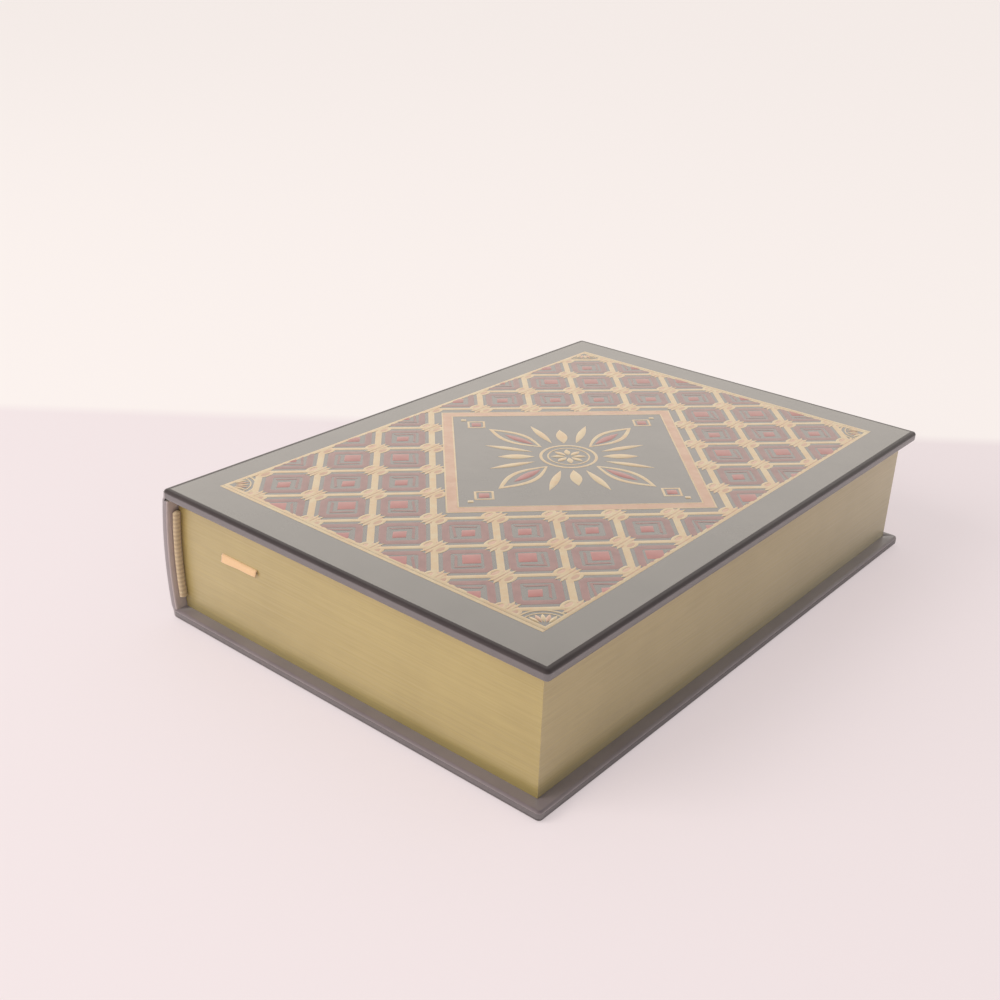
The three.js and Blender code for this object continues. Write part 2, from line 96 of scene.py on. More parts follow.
cover_low, cover_high = span("front_leather")
LEFT, TAIL, BOARD_UNDER = cover_low
RIGHT, HEAD, TOP = cover_high
COVER = TOP - BOARD_UNDER
BULGE = LEFT - span("spine_leather")[0][0]
pages_low, pages_high = span("lower_pages")
PAGE_FORE, PAGE_HEAD, SPLIT = pages_high
PAGE_TAIL = pages_low[1]
PAGES_TOP = span("upper_pages")[1][2]
SKIN = 0.08              # leather lies this far inside the solid, so that foil can lie on it
print("cover", RIGHT - LEFT, "x", HEAD - TAIL, "mm, thickness", TOP, "mm, spine bulge", BULGE, "mm")

# %% [markdown]
# ## From numbers to a mesh
# A surface here is a table of points: rows run one way, columns the other, and each small
# square between four neighbours is a face. A part of a piece is such a table with its faces,
# and a piece is one or more parts. Extrusions by hand could make them too, but a formula keeps
# the sizes exact and can be changed in one place.

# %% Grids, bars and pieces
def xyz(x, y, z):
    """Points from their coordinates. One that is the same along a row or column is given once."""
    return np.stack(np.broadcast_arrays(x, y, z), -1)


def grid(points, round_rows=False, round_columns=False, cap_rows=False, finish=0):
    """A table of points (rows, columns, 3) and the quads between neighbours. round_rows joins the
    last row to the first, round_columns the last column to the first. cap_rows closes the first
    and last row, each a closed loop, with one face."""
    rows, columns = points.shape[:2]
    r, c = np.meshgrid(np.arange(rows - (not round_rows)), np.arange(columns - (not round_columns)),
                       indexing="ij")
    r2, c2 = (r + 1) % rows, (c + 1) % columns
    corners = [r * columns + c, r2 * columns + c, r2 * columns + c2, r * columns + c2]
    faces = np.stack(corners, -1).reshape(-1, 4).tolist()
    if cap_rows:
        faces.append(list(range(columns))[::-1])
        faces.append(list(range((rows - 1) * columns, rows * columns)))
    return points.reshape(-1, 3), faces, finish


def bars(sections, ring=False):
    """Many shapes at once: sections (shapes, rows, around, 3) holds each one's closed outline at
    each row. A ring's last row meets its first, and other shapes have capped ends."""
    count, rows, around = sections.shape[:3]
    one = grid(sections[0], ring, True, not ring)[1]
    faces = [[i + k * rows * around for i in f] for k in range(count) for f in one]
    return sections.reshape(-1, 3), faces, 0


def mesh_of(name, parts, unit=1.0):
    """One mesh from parts, their points times a unit."""
    points = np.concatenate([p for p, _, _ in parts])
    starts = np.cumsum([0] + [len(p) for p, _, _ in parts])
    faces = [[i + s for i in f] for s, (_, fs, _) in zip(starts, parts) for f in fs]
    mesh = bpy.data.meshes.new(name)
    mesh.from_pydata((points * unit).tolist(), [], faces)
    return mesh


def part_of(mesh):
    """The reverse: the points and faces of a mesh as a part."""
    flat = np.zeros(len(mesh.vertices) * 3)
    mesh.vertices.foreach_get("co", flat)
    return flat.reshape(-1, 3), [list(p.vertices) for p in mesh.polygons], 0


def in_scene(name, data):
    """An object with this data, linked to the scene."""
    made = bpy.data.objects.new(name, data)
    bpy.context.scene.collection.objects.link(made)
    return made


def piece(name, parts, body, slot, materials, replaces=(), **how):
    """One object from parts in millimetres, each face with the finish that its part gives it."""
    mesh = mesh_of(name, parts, MM)
    finishes = np.concatenate([np.full(len(fs), m) for _, fs, m in parts])
    mesh.polygons.foreach_set("material_index", finishes.astype(np.int32))
    return finished(name, mesh, body, slot, materials, replaces, **how)


def finished(name, mesh, body, slot, materials, replaces=(), crease=35.0, closed=True, flats=False):
    """Merges doubles, joins the triangles of flats, turns faces outwards, keeps edges sharper than
    crease degrees sharp, and fixes the piece to a body of the model."""
    work = bmesh.new()
    work.from_mesh(mesh)
    bmesh.ops.remove_doubles(work, verts=work.verts, dist=2e-6)
    if flats:
        bmesh.ops.dissolve_limit(work, angle_limit=math.radians(1), verts=work.verts, edges=work.edges)
    bmesh.ops.dissolve_degenerate(work, edges=work.edges, dist=1e-6)
    if closed:
        bmesh.ops.recalc_face_normals(work, faces=work.faces)
    work.to_mesh(mesh)
    work.free()
    mesh.shade_smooth()
    mesh.set_sharp_from_angle(angle=math.radians(crease))
    made = in_scene(name, mesh)
    for one in materials:
        mesh.materials.append(one)
    if body:
        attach(made, body)
    if replaces:
        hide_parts(*replaces)
    print(f"{name}: {len(mesh.polygons)} faces on {body}")
    return made


# %% [markdown]
# ## Finishes
# A finish is a small tree of shader nodes. One function adds any node with its settings and
# links. Most finishes are built alike: even values set on the shader itself, a pattern that
# runs the colour between two near shades, and a pattern that raises it in fine bumps. So one
# function builds them from those values. Colours are written as sRGB hex, the way a colour
# picker shows them, and turned to linear light. Patterns read Object coordinates, in metres,
# so a pattern of p mm has scale 1000 / p.

# %% Colour, node and finish helpers
def colour(code):
    """An sRGB hex colour as linear RGBA."""
    value = np.array([int(code[i:i + 2], 16) for i in (1, 3, 5)]) / 255
    linear = np.where(value <= 0.04045, value / 12.92, ((value + 0.055) / 1.055) ** 2.4)
    return (*linear.tolist(), 1.0)


def add(tree, kind, inputs=None, **settings):
    """Adds a node, with its settings and its inputs: a socket is linked, a value is set. Inputs go by
    name or number: 0 is a factor or value, 1 and 2 what a Map Range reads from, 3 and 4 what it
    maps to, and a Mix has its two numbers at 2 and 3 and its two colours at 6 and 7."""
    made = tree.nodes.new("ShaderNode" + kind)
    for key, value in settings.items():
        setattr(made, key, value)
    for key, value in (inputs or {}).items():
        if isinstance(value, bpy.types.NodeSocket):
            tree.links.new(value, made.inputs[key])
        else:
            made.inputs[key].default_value = value
    return made


def pattern(tree, place, kind, size, inputs=None, stretch=(1, 1, 1), **settings):
    """A texture whose blobs, cells or ribs are size mm apart, drawn out along an axis by stretch."""
    at = add(tree, "Mapping", {"Vector": place, "Scale": stretch}).outputs["Vector"]
    at_scale_one = math.pi / 10 if kind == "Wave" else 1       # the length of one rib
    made = add(tree, "Tex" + kind, {"Vector": at, "Scale": at_scale_one / (size * MM),
                                              **(inputs or {})}, **settings)
    return made.outputs["Distance" if kind == "Voronoi" else "Fac"]


def start_finish(name, **even):
    """A finish with its Principled shader, even values on the shader's own sockets. Returns the
    material, its node tree, the shader and the Object coordinates."""
    material = bpy.data.materials.new(name)
    material.use_nodes = True
    tree = material.node_tree
    shader = tree.nodes["Principled BSDF"]
    for key, value in even.items():
        shader.inputs[key.replace("_", " ")].default_value = value
    place = add(tree, "TexCoord").outputs["Object"]
    return material, tree, shader, place


def new_finish(name, low, high, shades, reach, bumps, depth, strength, gloss=None, **even):
    """A finish whose colour runs from low to high over the reach of the sum of the shades, one or
    more patterns. Where gloss is given, roughness runs along with it. The bumps, a pattern or the
    first of the shades where there is none, rise by a depth in millimetres."""
    material, tree, shader, place = start_finish(name, **even)
    values = [pattern(tree, place, **one) for one in shades]
    total = values[0]
    for value in values[1:]:
        total = add(tree, "Math", {0: total, 1: value}, operation="ADD").outputs[0]
    share = add(tree, "MapRange", {0: total, 1: reach[0], 2: reach[1]}).outputs[0]
    mixed = add(tree, "Mix", {0: share, 6: colour(low), 7: colour(high)}, data_type="RGBA")
    tree.links.new(mixed.outputs[2], shader.inputs["Base Color"])
    if gloss:
        rough = add(tree, "MapRange", {0: share, 3: gloss[0], 4: gloss[1]})
        tree.links.new(rough.outputs[0], shader.inputs["Roughness"])
    height = pattern(tree, place, **bumps) if bumps else values[0]
    bump = add(tree, "Bump", {"Height": height, "Distance": depth * MM, "Strength": strength})
    tree.links.new(bump.outputs["Normal"], shader.inputs["Normal"])
    return material


def cloud(size, detail=2, roughness=0.5, **more):
    """The values of a cloudy pattern."""
    return {"kind": "Noise", "size": size, "inputs": {"Detail": detail, "Roughness": roughness}, **more}


def ribs(pitch, distortion, way):
    """The values of a ribbed pattern."""
    return {"kind": "Wave", "size": pitch, "inputs": {"Distortion": distortion}, "bands_direction": way}


# The reach of a pattern's values that the two shades are spread over: the narrower, the harder
# the step from one shade to the other.
WHOLE, WIDE, NARROW = (0.0, 1.0), (0.3, 0.7), (0.35, 0.65)

# %% [markdown]
# ### Leather
# The covering is calf, dyed black and glazed: fine pores under a millimetre apart, a faint
# mottle of the dye, and a glaze coat that mirrors the pale room at a low angle, which turns
# the flat cover grey. The glaze is ironed on the flat faces and thinner on the sides. Where
# the leather is turned in it is only waxed, and shows the purple-brown of its dye, painted
# lighter to lift the shade that falls on the turn-ins and the spine's ends. Along the outer
# edges the glaze is rubbed off. The inside face of the spine is painted pale: painted light
# in its deep shade.

# %% Calf leather
GLAZE_IOR = 4.2          # matched to how pale the flat cover looks at a low angle


def calf(name, low, high, rough, coat_rough, coat_ior, **more):
    """Calf with its pores and the mottle of its dye, under a glaze or wax coat."""
    even = {"IOR": 1.5, "Sheen_Weight": 0.1, "Sheen_Roughness": 0.5, "Coat_Weight": 1.0, **more}
    return new_finish(name, low, high, [cloud(18, 4, 0.6)], NARROW, {"kind": "Voronoi", "size": 0.7},
                      0.03, 0.25, Roughness=rough, Coat_Roughness=coat_rough, Coat_IOR=coat_ior, **even)


leather = calf("glazed_black_calf", "#4f4c48", "#5c5853", 0.38, 0.14, GLAZE_IOR)
edge_leather = calf("thinly_glazed_calf", "#3a3134", "#443a3d", 0.5, 0.24, 2.4)
# Painted lighter than the calf's own dye, which lifts the shade on the turn-ins, the back cover's inside
# edge and the ends and inside of the spine and joint.
lightened_turn_in_calf = calf("waxed_calf_painted_lighter", "#6b5c60", "#77686b", 0.7, 0.3, 2.1, Sheen_Weight=0.6)
rubbed_leather = calf("rubbed_calf", "#393031", "#423838", 0.6, 0.3, 1.35)
# Painted pale: a lit copy of the calf, which paints light into the deep shade on the spine's inside face.
pale_painted_wall_calf = calf("calf_painted_pale_in_shade", "#b9a9a8", "#c6b6b2", 0.7, 0.35, 1.9)

# %% [markdown]
# ### Gilt edges and paper
# The three edges of the leaves are sanded flat, sized and covered with gold leaf, then waxed
# and burnished: a soft metal with fine streaks along the leaves, under a thin clear wax. The
# rims of the leaves scatter light, which the sheen stands for and which pales the gold at a
# low angle. Everywhere else the block shows its paper: cream laid paper, with faint ribs left
# by the wires of the mould. The covers' boards are pressed grey pulp with specks.

# %% Gilt, paper and board
leaf_streaks = cloud(0.5, 3, 0.6, stretch=(0.02, 0.02, 1))
gilt = new_finish("burnished_gilt_edge", "#b19a42", "#bda650", [leaf_streaks, cloud(30, 3, 0.55)],
                  (0.75, 1.25), None, 0.02, 0.2, gloss=(0.46, 0.38), Metallic=0.5, Coat_Weight=1.0,
                  Coat_Roughness=0.25, Coat_IOR=2.2, Sheen_Weight=1.0, Sheen_Roughness=0.4)


def paper(name, low, high, pitch):
    return new_finish(name, low, high, [cloud(1.2, 4, 0.6)], WIDE, ribs(pitch, 0.4, "Y"), 0.03, 0.3,
                      Roughness=0.82, IOR=1.5)


leaf_paper = paper("cut_leaf_paper", "#e3d6b8", "#f0e6cd", 0.4)
end_paper = paper("cream_laid_endpaper", "#e6dac0", "#f1e8d3", 1.0)
board = new_finish("grey_millboard", "#7d7567", "#a0977f", [cloud(0.8, 5, 0.7)], WHOLE, cloud(0.5, 3),
                   0.05, 0.5, Roughness=0.9)

# %% [markdown]
# ### Blocked foil
# Gold, copper and red foils are pressed on the leather with a hot brass die. Gold and copper
# are metal powder in a clear binder, four parts metal to one of binder. The reds are pigment
# in lacquer, so they are not metal. All are worn a little unevenly and dimpled by the pores.

# %% Foils
LACQUER_IOR = 2.3        # the pigment's own lacquer, a little less bright than the glaze


def foil(name, low, high, rough, wear, coat_ior, **more):
    return new_finish(name, low, high, [cloud(wear, 4, 0.6)], NARROW, cloud(0.7), 0.02, 0.3,
                      Roughness=rough, Coat_Weight=1.0, Coat_Roughness=0.16, Coat_IOR=coat_ior, **more)


gold_foil = foil("blocked_gold_foil", "#fbd18f", "#ffe5ac", 0.36, 6, GLAZE_IOR, Metallic=0.8)
copper_foil = foil("blocked_copper_foil", "#ecac80", "#f8c39a", 0.38, 6, GLAZE_IOR, Metallic=0.8)
red_foil = foil("red_pigment_foil", "#b36965", "#c0746e", 0.4, 5, LACQUER_IOR, IOR=1.5)
maroon_foil = foil("maroon_pigment_foil", "#976a67", "#a47570", 0.4, 5, LACQUER_IOR, IOR=1.5)

# %% [markdown]
# ### Thread, ribbon and felt
# Cloth scatters light at its rim, which the sheen values give. The endbands are silk wound
# over a cord, its twist drawn 0.25 mm apart, and the place marker is woven satin, its warp
# drawn 0.4 mm apart: both are coarser than real, so that they can be seen. The box is lined
# with pressed wool, which has no weave, only matted fibres about half a millimetre long.

# %% Cloth finishes
def thread(name, low, high):
    return new_finish(name, low, high, [ribs(0.25, 1.0, "DIAGONAL")], WHOLE, None, 0.05, 0.6,
                      Roughness=0.55, Sheen_Weight=0.5, Sheen_Roughness=0.4)


light_thread = thread("beige_silk_thread", "#cfb894", "#dcc6a4")
dark_thread = thread("tan_silk_thread", "#bfa786", "#cdb593")
ribbon_satin = new_finish("salmon_satin_ribbon", "#ddae80", "#edcca1", [ribs(0.4, 0.3, "X")], WHOLE, None,
                          0.04, 0.5, Roughness=0.42, Sheen_Weight=0.6, Sheen_Roughness=0.35)
felt = new_finish("dark_red_wool_felt", "#4c101a", "#742331", [cloud(0.6, 6, 0.75)], WIDE, None, 0.2, 0.6,
                  Roughness=0.95, Sheen_Weight=0.7, Sheen_Roughness=0.6)

# %% [markdown]
# ### Metal and plastic of the box
# The box is folded steel sheet with a powder coat, which dries with a fine orange peel. Its
# fittings are zinc-plated or satin brass, with a fine grain that glints unevenly. The dials
# are moulded plastic, matt from the mould, with painted numbers.

# %% Box finishes
def plated(name, low, high, rough, stretch):
    return new_finish(name, low, high, [cloud(0.5, 3, 0.6, stretch=stretch)], WIDE, None, 0.01, 0.3,
                      gloss=(rough + 0.06, rough - 0.06), Metallic=1.0)


def moulded(name, low, high, rough):
    return new_finish(name, low, high, [cloud(3, 3)], WHOLE, cloud(0.3), 0.01, 0.4,
                      Roughness=rough, IOR=1.5)


coat = new_finish("dark_grey_powder_coat", "#35383b", "#404346", [cloud(25, 3)], WIDE, cloud(0.9),
                  0.06, 0.5, Roughness=0.5, IOR=1.5)
zinc = plated("bright_zinc_plate", "#a9adb0", "#c6c9cb", 0.32, (1, 1, 1))
brass = plated("satin_brass", "#b8924f", "#cda763", 0.3, (1, 0.03, 1))
dial_black = moulded("black_acetal_dial", "#1b1c1e", "#26272a", 0.4)
number_white = moulded("white_number_paint", "#e9e7e0", "#f4f2ec", 0.5)

# %% [markdown]
# ## The covers
# A cover is a board with leather pulled over it and turned in 14 mm round the inside. It
# could be a bevelled cube, but then the turned edges and the mitres at the inside corners
# would be missing. So one profile, from the turn-in round the edge to the outside, is carried
# round the cover's outline: each point of the profile is a ring, moved inwards by its inset.

# %% Cover skins
TURN_IN = 14.0
TURN_IN_THICK = 0.62     # from the turn-in's face into the board, under the endpaper
MITRE = 0.18             # how far the turn-in sinks where two sides of it meet
EDGE = 0.9               # how round the leather makes the board's inner edges
OUTER_EDGE = 1.1         # and its outer edges, which are sanded first
CORNER = 1.5             # radius of a cover's corners
FLAT_INSET = 4.0         # the outside is flat from here on


def spread(count, near):
    """Places along a side, 0 to 1 without the ends: one point close to each corner, the rest even."""
    return np.concatenate([[near], np.linspace(0, 1, count + 2)[1:-1], [1 - near]])


def rings(insets, heights, box, radius, along, turn_steps=4):
    """Rings of points round a rectangle with rounded corners, each moved inwards by its inset and
    up to its height. The corner radius shrinks with the inset, and past it a corner is one point."""
    left, right, tail, head = box
    inset = insets[:, None]
    r = np.maximum(radius - inset, 0)
    turn = np.linspace(0, np.pi / 2, turn_steps + 1)
    middles = [(right - inset - r, tail + inset + r), (right - inset - r, head - inset - r),
               (left + inset + r, head - inset - r), (left + inset + r, tail + inset + r)]
    arcs = [np.stack([x + r * np.cos(turn + a), y + r * np.sin(turn + a)], -1)
            for (x, y), a in zip(middles, (-np.pi / 2, 0, np.pi / 2, np.pi))]
    out = []
    for side in range(4):
        start, end = arcs[side - 1][:, -1:], arcs[side][:, :1]
        t = along[side % 2][None, :, None]
        out += [start + t * (end - start), arcs[side]]
    flat = np.concatenate(out, 1)
    return xyz(flat[..., 0], flat[..., 1], heights[:, None])


def flat_grid(box, inset, along, z, finish=0):
    """A flat grid that fills the ring of this inset and meets its points."""
    x, y = (low + inset + np.concatenate([[0], t, [1]]) * (high - low - 2 * inset)
            for low, high, t in zip(box[::2], box[1::2], along))
    return grid(xyz(x[:, None], y, z), finish=finish)


def board_skin(flip):
    """Turn-in, inside edge, side, outside edge: quarter circles of two radii join straight runs.
    The flat outside and the hidden inside are closed with grids that meet the rings. On the back
    cover, which is flipped, the inside edge is waxed like the turn-in above it, and painted lighter
    like it."""
    inside, outside = BOARD_UNDER + 0.02, TOP - SKIN
    sunk = inside + TURN_IN_THICK
    a = np.linspace(0, np.pi / 2, 7)
    profile = np.array([(TURN_IN, sunk), (TURN_IN, inside + 0.2), (TURN_IN - 0.4, inside),
                        (9, inside), (FLAT_INSET, inside)]
                       + list(zip(EDGE - EDGE * np.sin(a), inside + EDGE - EDGE * np.cos(a)))
                       + list(zip(OUTER_EDGE * (1 - np.cos(a)), outside - OUTER_EDGE * (1 - np.sin(a))))
                       + [(2, outside), (FLAT_INSET, outside)])
    box = (LEFT + SKIN, RIGHT - SKIN, TAIL + SKIN, HEAD - SKIN)
    along = spread(40, 0.003), spread(56, 0.002)
    table = rings(profile[:, 0], profile[:, 1], box, CORNER, along)
    flat = table[..., :2]
    is_mitre = np.linalg.norm(flat - np.roll(flat, 1, 1), axis=-1) < 1e-6
    table[1:6, :, 2] += np.where(is_mitre | np.roll(is_mitre, -1, 1), MITRE, 0)[1:6]
    finish = np.repeat([2, 2 if flip else 1, 1, 3, 0], [5, len(a) - 1, 1, len(a), 1])
    parts = [grid(table, round_columns=True, finish=np.repeat(finish, table.shape[1])),
             flat_grid(box, FLAT_INSET, along, outside), flat_grid(box, TURN_IN, along, sunk, 2)]
    if flip:
        parts = [(p * (1, 1, -1) + (0, 0, TOP), f, m) for p, f, m in parts]
    return parts


for side, body, flip in (("front", "front_cover", False), ("back", "root", True)):
    piece(f"{side}_cover_leather", board_skin(flip), body, "leather",
          [leather, edge_leather, lightened_turn_in_calf, rubbed_leather], [f"{side}_leather"])

# %% [markdown]
# ## The spine and its joint
# The spine is a stiff board under leather, bowed outwards by about two millimetres. The same
# leather runs on over the edge of the front cover, and it bends there each time the book is
# opened. So the spine is one closed bar that stays still, and a thin strip of leather lies over
# its upper edge, between the spine and the cover. At rest the two are flush.

# %% Spine
SPINE_LOW, SPINE_HIGH = 1.0, BOARD_UNDER - 0.4      # heights where the spine's leather ends
ON_BOARD = 3.7           # below this height the spine's leather lies on the back board
STRIP_LOW, STRIP_HIGH = 40.3, TOP - 1.05            # and where the bending strip does
STRIP_THICK, STRIP_EDGE = 0.38, 0.03                # thickness of the strip and of its pared edge
STRIP_PARED = 2.2        # how far up from its lower side the strip is pared
SPINE_THICK = 3.06       # from the spine's face to its lining
SPINE_ROUND = 0.8        # how round the spine's ends are


def spine_face(z):
    """The bowed outer face: a parabola, furthest out at half the thickness."""
    return LEFT - BULGE * (1 - (2 * z / TOP - 1) ** 2)


def smooth(value, low, high):
    """0 below low, 1 above high, and an even S between."""
    t = np.clip((value - low) / (high - low), 0, 1)
    return t * t * (3 - 2 * t)


def strip_thickness(z):
    """The strip is pared to a thin edge at its lower side, so that it lies flush in the spine."""
    return STRIP_EDGE + (STRIP_THICK - STRIP_EDGE) * smooth(z, STRIP_LOW, STRIP_LOW + STRIP_PARED)


def rounding(from_end, radius):
    """How far a quarter circle lies from its square corner, at a distance from the end."""
    short = np.clip(radius - from_end, 0, radius)
    return radius - np.sqrt(radius ** 2 - short ** 2)


# Places along the book from tail to head: close together at the ends, wide between.
near = CORNER * (1 - np.cos(np.linspace(0, np.pi / 2, 8)))
low, high = TAIL + SKIN, HEAD - SKIN
stations = np.concatenate([low + near, np.linspace(low + CORNER, high - CORNER, 10)[1:-1],
                           (high - near)[::-1]])
from_end = np.minimum(stations - stations[0], stations[-1] - stations)[:, None]
round_board, round_end = rounding(from_end, CORNER), rounding(from_end, SPINE_ROUND)


def closed_bar(z, face, back, face_pull, back_pull, back_finish):
    """A bar along the book with a closed section: at heights z, the face and the back in x. The
    pulls (stations, heights) move both in x, which rounds the ends, and each end is a ladder of
    quads from face to back, so that it can bend. The face takes the first finish, the rounded
    ends the second, the back its own."""
    loop_x = np.concatenate([face + face_pull, (back + back_pull)[:, ::-1]], 1)
    loop = xyz(loop_x, stations[:, None], np.concatenate([z, z[::-1]]))
    points, faces, _ = grid(loop, round_columns=True)
    step, other = np.arange(len(z) - 1), 2 * len(z) - 1
    cap = np.stack([step, step + 1, other - 1 - step, other - step], 1)
    faces += cap.tolist() + (cap[:, ::-1] + (len(stations) - 1) * loop_x.shape[1]).tolist()
    row = np.arange(len(stations) - 1)
    at_end = np.minimum(row, row[::-1]) < 5
    is_back = np.arange(loop_x.shape[1]) >= len(z) - 1
    finish = np.where(is_back, back_finish, at_end[:, None])
    return points, faces, np.concatenate([finish.ravel(), np.ones(2 * len(cap), int)])


z = np.concatenate([np.linspace(*run) for run in (
    (SPINE_LOW, ON_BOARD - 0.1, 6), (ON_BOARD + 0.02, STRIP_LOW - 0.02, 40), (STRIP_LOW, SPINE_HIGH, 18))])
face = spine_face(z) + SKIN + np.where(z < STRIP_LOW, 0, strip_thickness(z) - 0.02)
back = np.where(z < ON_BOARD, LEFT + SKIN, spine_face(z) + SPINE_THICK)
on_board = 1 - smooth(z, 3.0, 4.8)
face_pull = on_board * round_board + (1 - on_board) * round_end
back_pull = np.where(z < ON_BOARD, round_board, -round_end / 2)
# The spine's back, its inside face, takes the pale calf: painted light in that shade.
piece("spine_leather_cover", [closed_bar(z, face, back, face_pull, back_pull, 2)], "root", "leather",
      [leather, lightened_turn_in_calf, pale_painted_wall_calf], ["spine_leather"])

# %% Leather joint over the spine's edge
z = np.linspace(STRIP_LOW, STRIP_HIGH, 60)
face = spine_face(z) + SKIN
back = np.where(z > SPINE_HIGH, np.maximum(face + 0.1, LEFT + SKIN - 0.02), face + strip_thickness(z))
on_cover = smooth(z, SPINE_HIGH, SPINE_HIGH + 1.2)
wrap = (1 - on_cover) * round_end + on_cover * round_board
joint_strip = piece("hinge_leather", [closed_bar(z, face, back, wrap, wrap, 1)], None, "leather",
                    [leather, lightened_turn_in_calf])
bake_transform(joint_strip)

# %% [markdown]
# ## The block of leaves
# Hundreds of leaves are cut and gilded as one block. Modelling each sheet would cost millions
# of faces, so the block is one closed surface, carried round the book: up the outside, over
# the top, down the inside of the hollow and back underneath. Each row of the outside is drawn
# in by a few hundredths of a millimetre, at random, as leaves in a cut block are.

# %% Leaves
HOLLOW = (-63.9, 66.6, -95.0, 95.0)     # left, right, tail, head sides of the cut-out
ALONG_X, ALONG_Y = 60, 90               # faces along each side of the block


def block_of_leaves(rows=150, inside_rows=60, seed=7):
    """Rows of a closed ring. Outside rows lie on the block's box, less a random depth per row and
    a slow wave along it; inside rows lie on the hollow's box."""
    rng = np.random.default_rng(seed)
    fx, fy = np.linspace(0, 1, ALONG_X + 1), np.linspace(0, 1, ALONG_Y + 1)
    x_share = np.concatenate([fx[:-1], np.ones(ALONG_Y), fx[:0:-1], np.zeros(ALONG_Y)])
    y_share = np.concatenate([np.zeros(ALONG_X), fy[:-1], np.ones(ALONG_X), fy[:0:-1]])

    def around(box, drawn_in, z):
        """Rows of points round a box of left, right, tail and head, drawn in by a depth."""
        left, right, tail, head = box
        x = left + drawn_in + x_share * (right - left - 2 * drawn_in)
        y = tail + drawn_in + y_share * (head - tail - 2 * drawn_in)
        return xyz(x, y, z[:, None])

    # The block ends a little inside the spine's leather, and inside the covers' edges.
    z = np.linspace(COVER + 0.02, PAGES_TOP, rows)
    back_x = np.maximum(spine_face(z) + SPINE_THICK + 0.35, LEFT + 1.2)[:, None]
    wave = np.sin(np.linspace(0, 2 * np.pi, len(x_share))[None] * 3 + rng.uniform(0, 6, (rows, 1)))
    depth = 0.02 + 0.03 * rng.random((rows, 1)) + 0.008 * wave
    depth_inside = 0.03 * rng.random((inside_rows, 1))
    table = np.concatenate([around((back_x, PAGE_FORE, PAGE_TAIL, PAGE_HEAD), depth, z),
                            around(HOLLOW, -depth_inside, np.linspace(z[-1], z[0], inside_rows))])
    is_paper = np.repeat((np.arange(len(table)) >= rows - 1).astype(int), table.shape[1])
    return grid(table, round_rows=True, round_columns=True, finish=is_paper)


piece("block_of_leaves", [block_of_leaves()], "root", "gilt_pages", [gilt, leaf_paper],
      ["lower_pages", "upper_pages"], crease=50)

# %% [markdown]
# ## Endbands
# Silk in two colours is wound over a cord at the head and tail of the spine. Each is a tube
# along the curve of the spine whose radius swells once for each turn of thread, and the two
# colours, close to each other and to the gilding, take turns.

# %% Endbands
TURN = 0.8               # from one turn of thread to the next
CORD_OUT = 1.3           # from the leaves out to the middle of the cord
HALF_WIDE, HALF_TALL = 1.1, 1.5         # half of a band's size across the leaves and out from them


def endband(node, sides=14):
    """Rows of a closed ring, one for each place along the cord, with a rounded end."""
    low, high = span(node)
    z = np.linspace(low[2], high[2], 251)
    swell = 0.9 + 0.1 * np.abs(np.sin(np.pi * z / TURN))
    close = np.sqrt(np.clip(np.minimum(z - z[0], z[-1] - z) / TURN, 0.02, 1))
    around = np.linspace(0, 2 * np.pi, sides, endpoint=False)
    r = (swell * close)[:, None]
    middle_y = PAGE_TAIL - CORD_OUT if high[1] < 0 else PAGE_HEAD + CORD_OUT
    x = (spine_face(z) + SPINE_THICK + HALF_WIDE)[:, None] + HALF_WIDE * r * np.cos(around)
    y = middle_y + HALF_TALL * r * np.sin(around)
    stripe = np.repeat((np.floor(z[:-1] / TURN) % 2).astype(int), sides).tolist() + [0, 0]
    return grid(xyz(x, y, z[:, None]), round_columns=True, cap_rows=True, finish=np.array(stripe))


for end in ("tail", "head"):
    piece(f"{end}_endband", [endband(f"{end}band")], "root", "band_thread", [light_thread, dark_thread],
          [f"{end}band"], crease=60)

# %% [markdown]
# ## Ribbon marker
# A satin ribbon lies between the leaves, comes out at the tail edge and is folded down over
# the gilding, where its cut end shows. It is a thin sheet: a path in side view, carried across
# the ribbon's width, then given its thickness by the Solidify modifier.

# %% Ribbon marker
HIDDEN_END = -98.6       # where the ribbon begins between the leaves
FOLD = 0.75              # radius of the fold over the leaves
FOLD_Y, FOLD_Z = PAGE_TAIL + 0.2, SPLIT + 0.2       # where the fold begins
DROP, FLARE = 1.6, 0.25  # how far the cut end hangs down, and out


def ribbon_path():
    """Side view from inside the block: straight, a quarter turn, and a short drop that flares."""
    a = np.linspace(0, np.pi / 2, 9)
    straight = np.stack([np.linspace(HIDDEN_END, FOLD_Y, 24), np.full(24, FOLD_Z)], 1)
    bend = np.stack([FOLD_Y - FOLD * np.sin(a), FOLD_Z - FOLD * (1 - np.cos(a))], 1)
    share = np.linspace(0, 1, 9)[1:]
    fall = np.stack([bend[-1, 0] - FLARE * share ** 2, bend[-1, 1] - DROP * share], 1)
    return np.concatenate([straight, bend[1:], fall])


low, high = span("ribbon_marker")
path = ribbon_path()
across = np.linspace(-1, 1, 27)
x = (low[0] + high[0]) / 2 + across * (high[0] - low[0]) / 2 * 0.99
bow, slant = 0.1 * np.cos(across * 5), 0.3 * across         # the drop curls a little and hangs askew
drop_share = smooth(np.arange(len(path)), 30, len(path) - 1)[:, None]
surface = xyz(x, path[:, :1] + (bow - 0.1) * drop_share, path[:, 1:] + slant * drop_share)
ribbon = piece("place_ribbon", [grid(surface)], "root", "ribbon", [ribbon_satin], ["ribbon_marker"],
               crease=70, closed=False)
thick = ribbon.modifiers.new("thickness", "SOLIDIFY")
thick.thickness = 0.3 * MM
thick.offset = 0

# %% [markdown]
# ## Felt lining
# A sheet of felt lies loose in the bottom of the box and rises a little over the rivet heads.
# It is a soft slab: its top is a grid of heights, its edge a half round.

# %% Felt lining
FELT_CORNER = 1.8
RIVETS = [(x, y) for x in (-41.4, 44.1) for y in (-72.5, 72.5)]


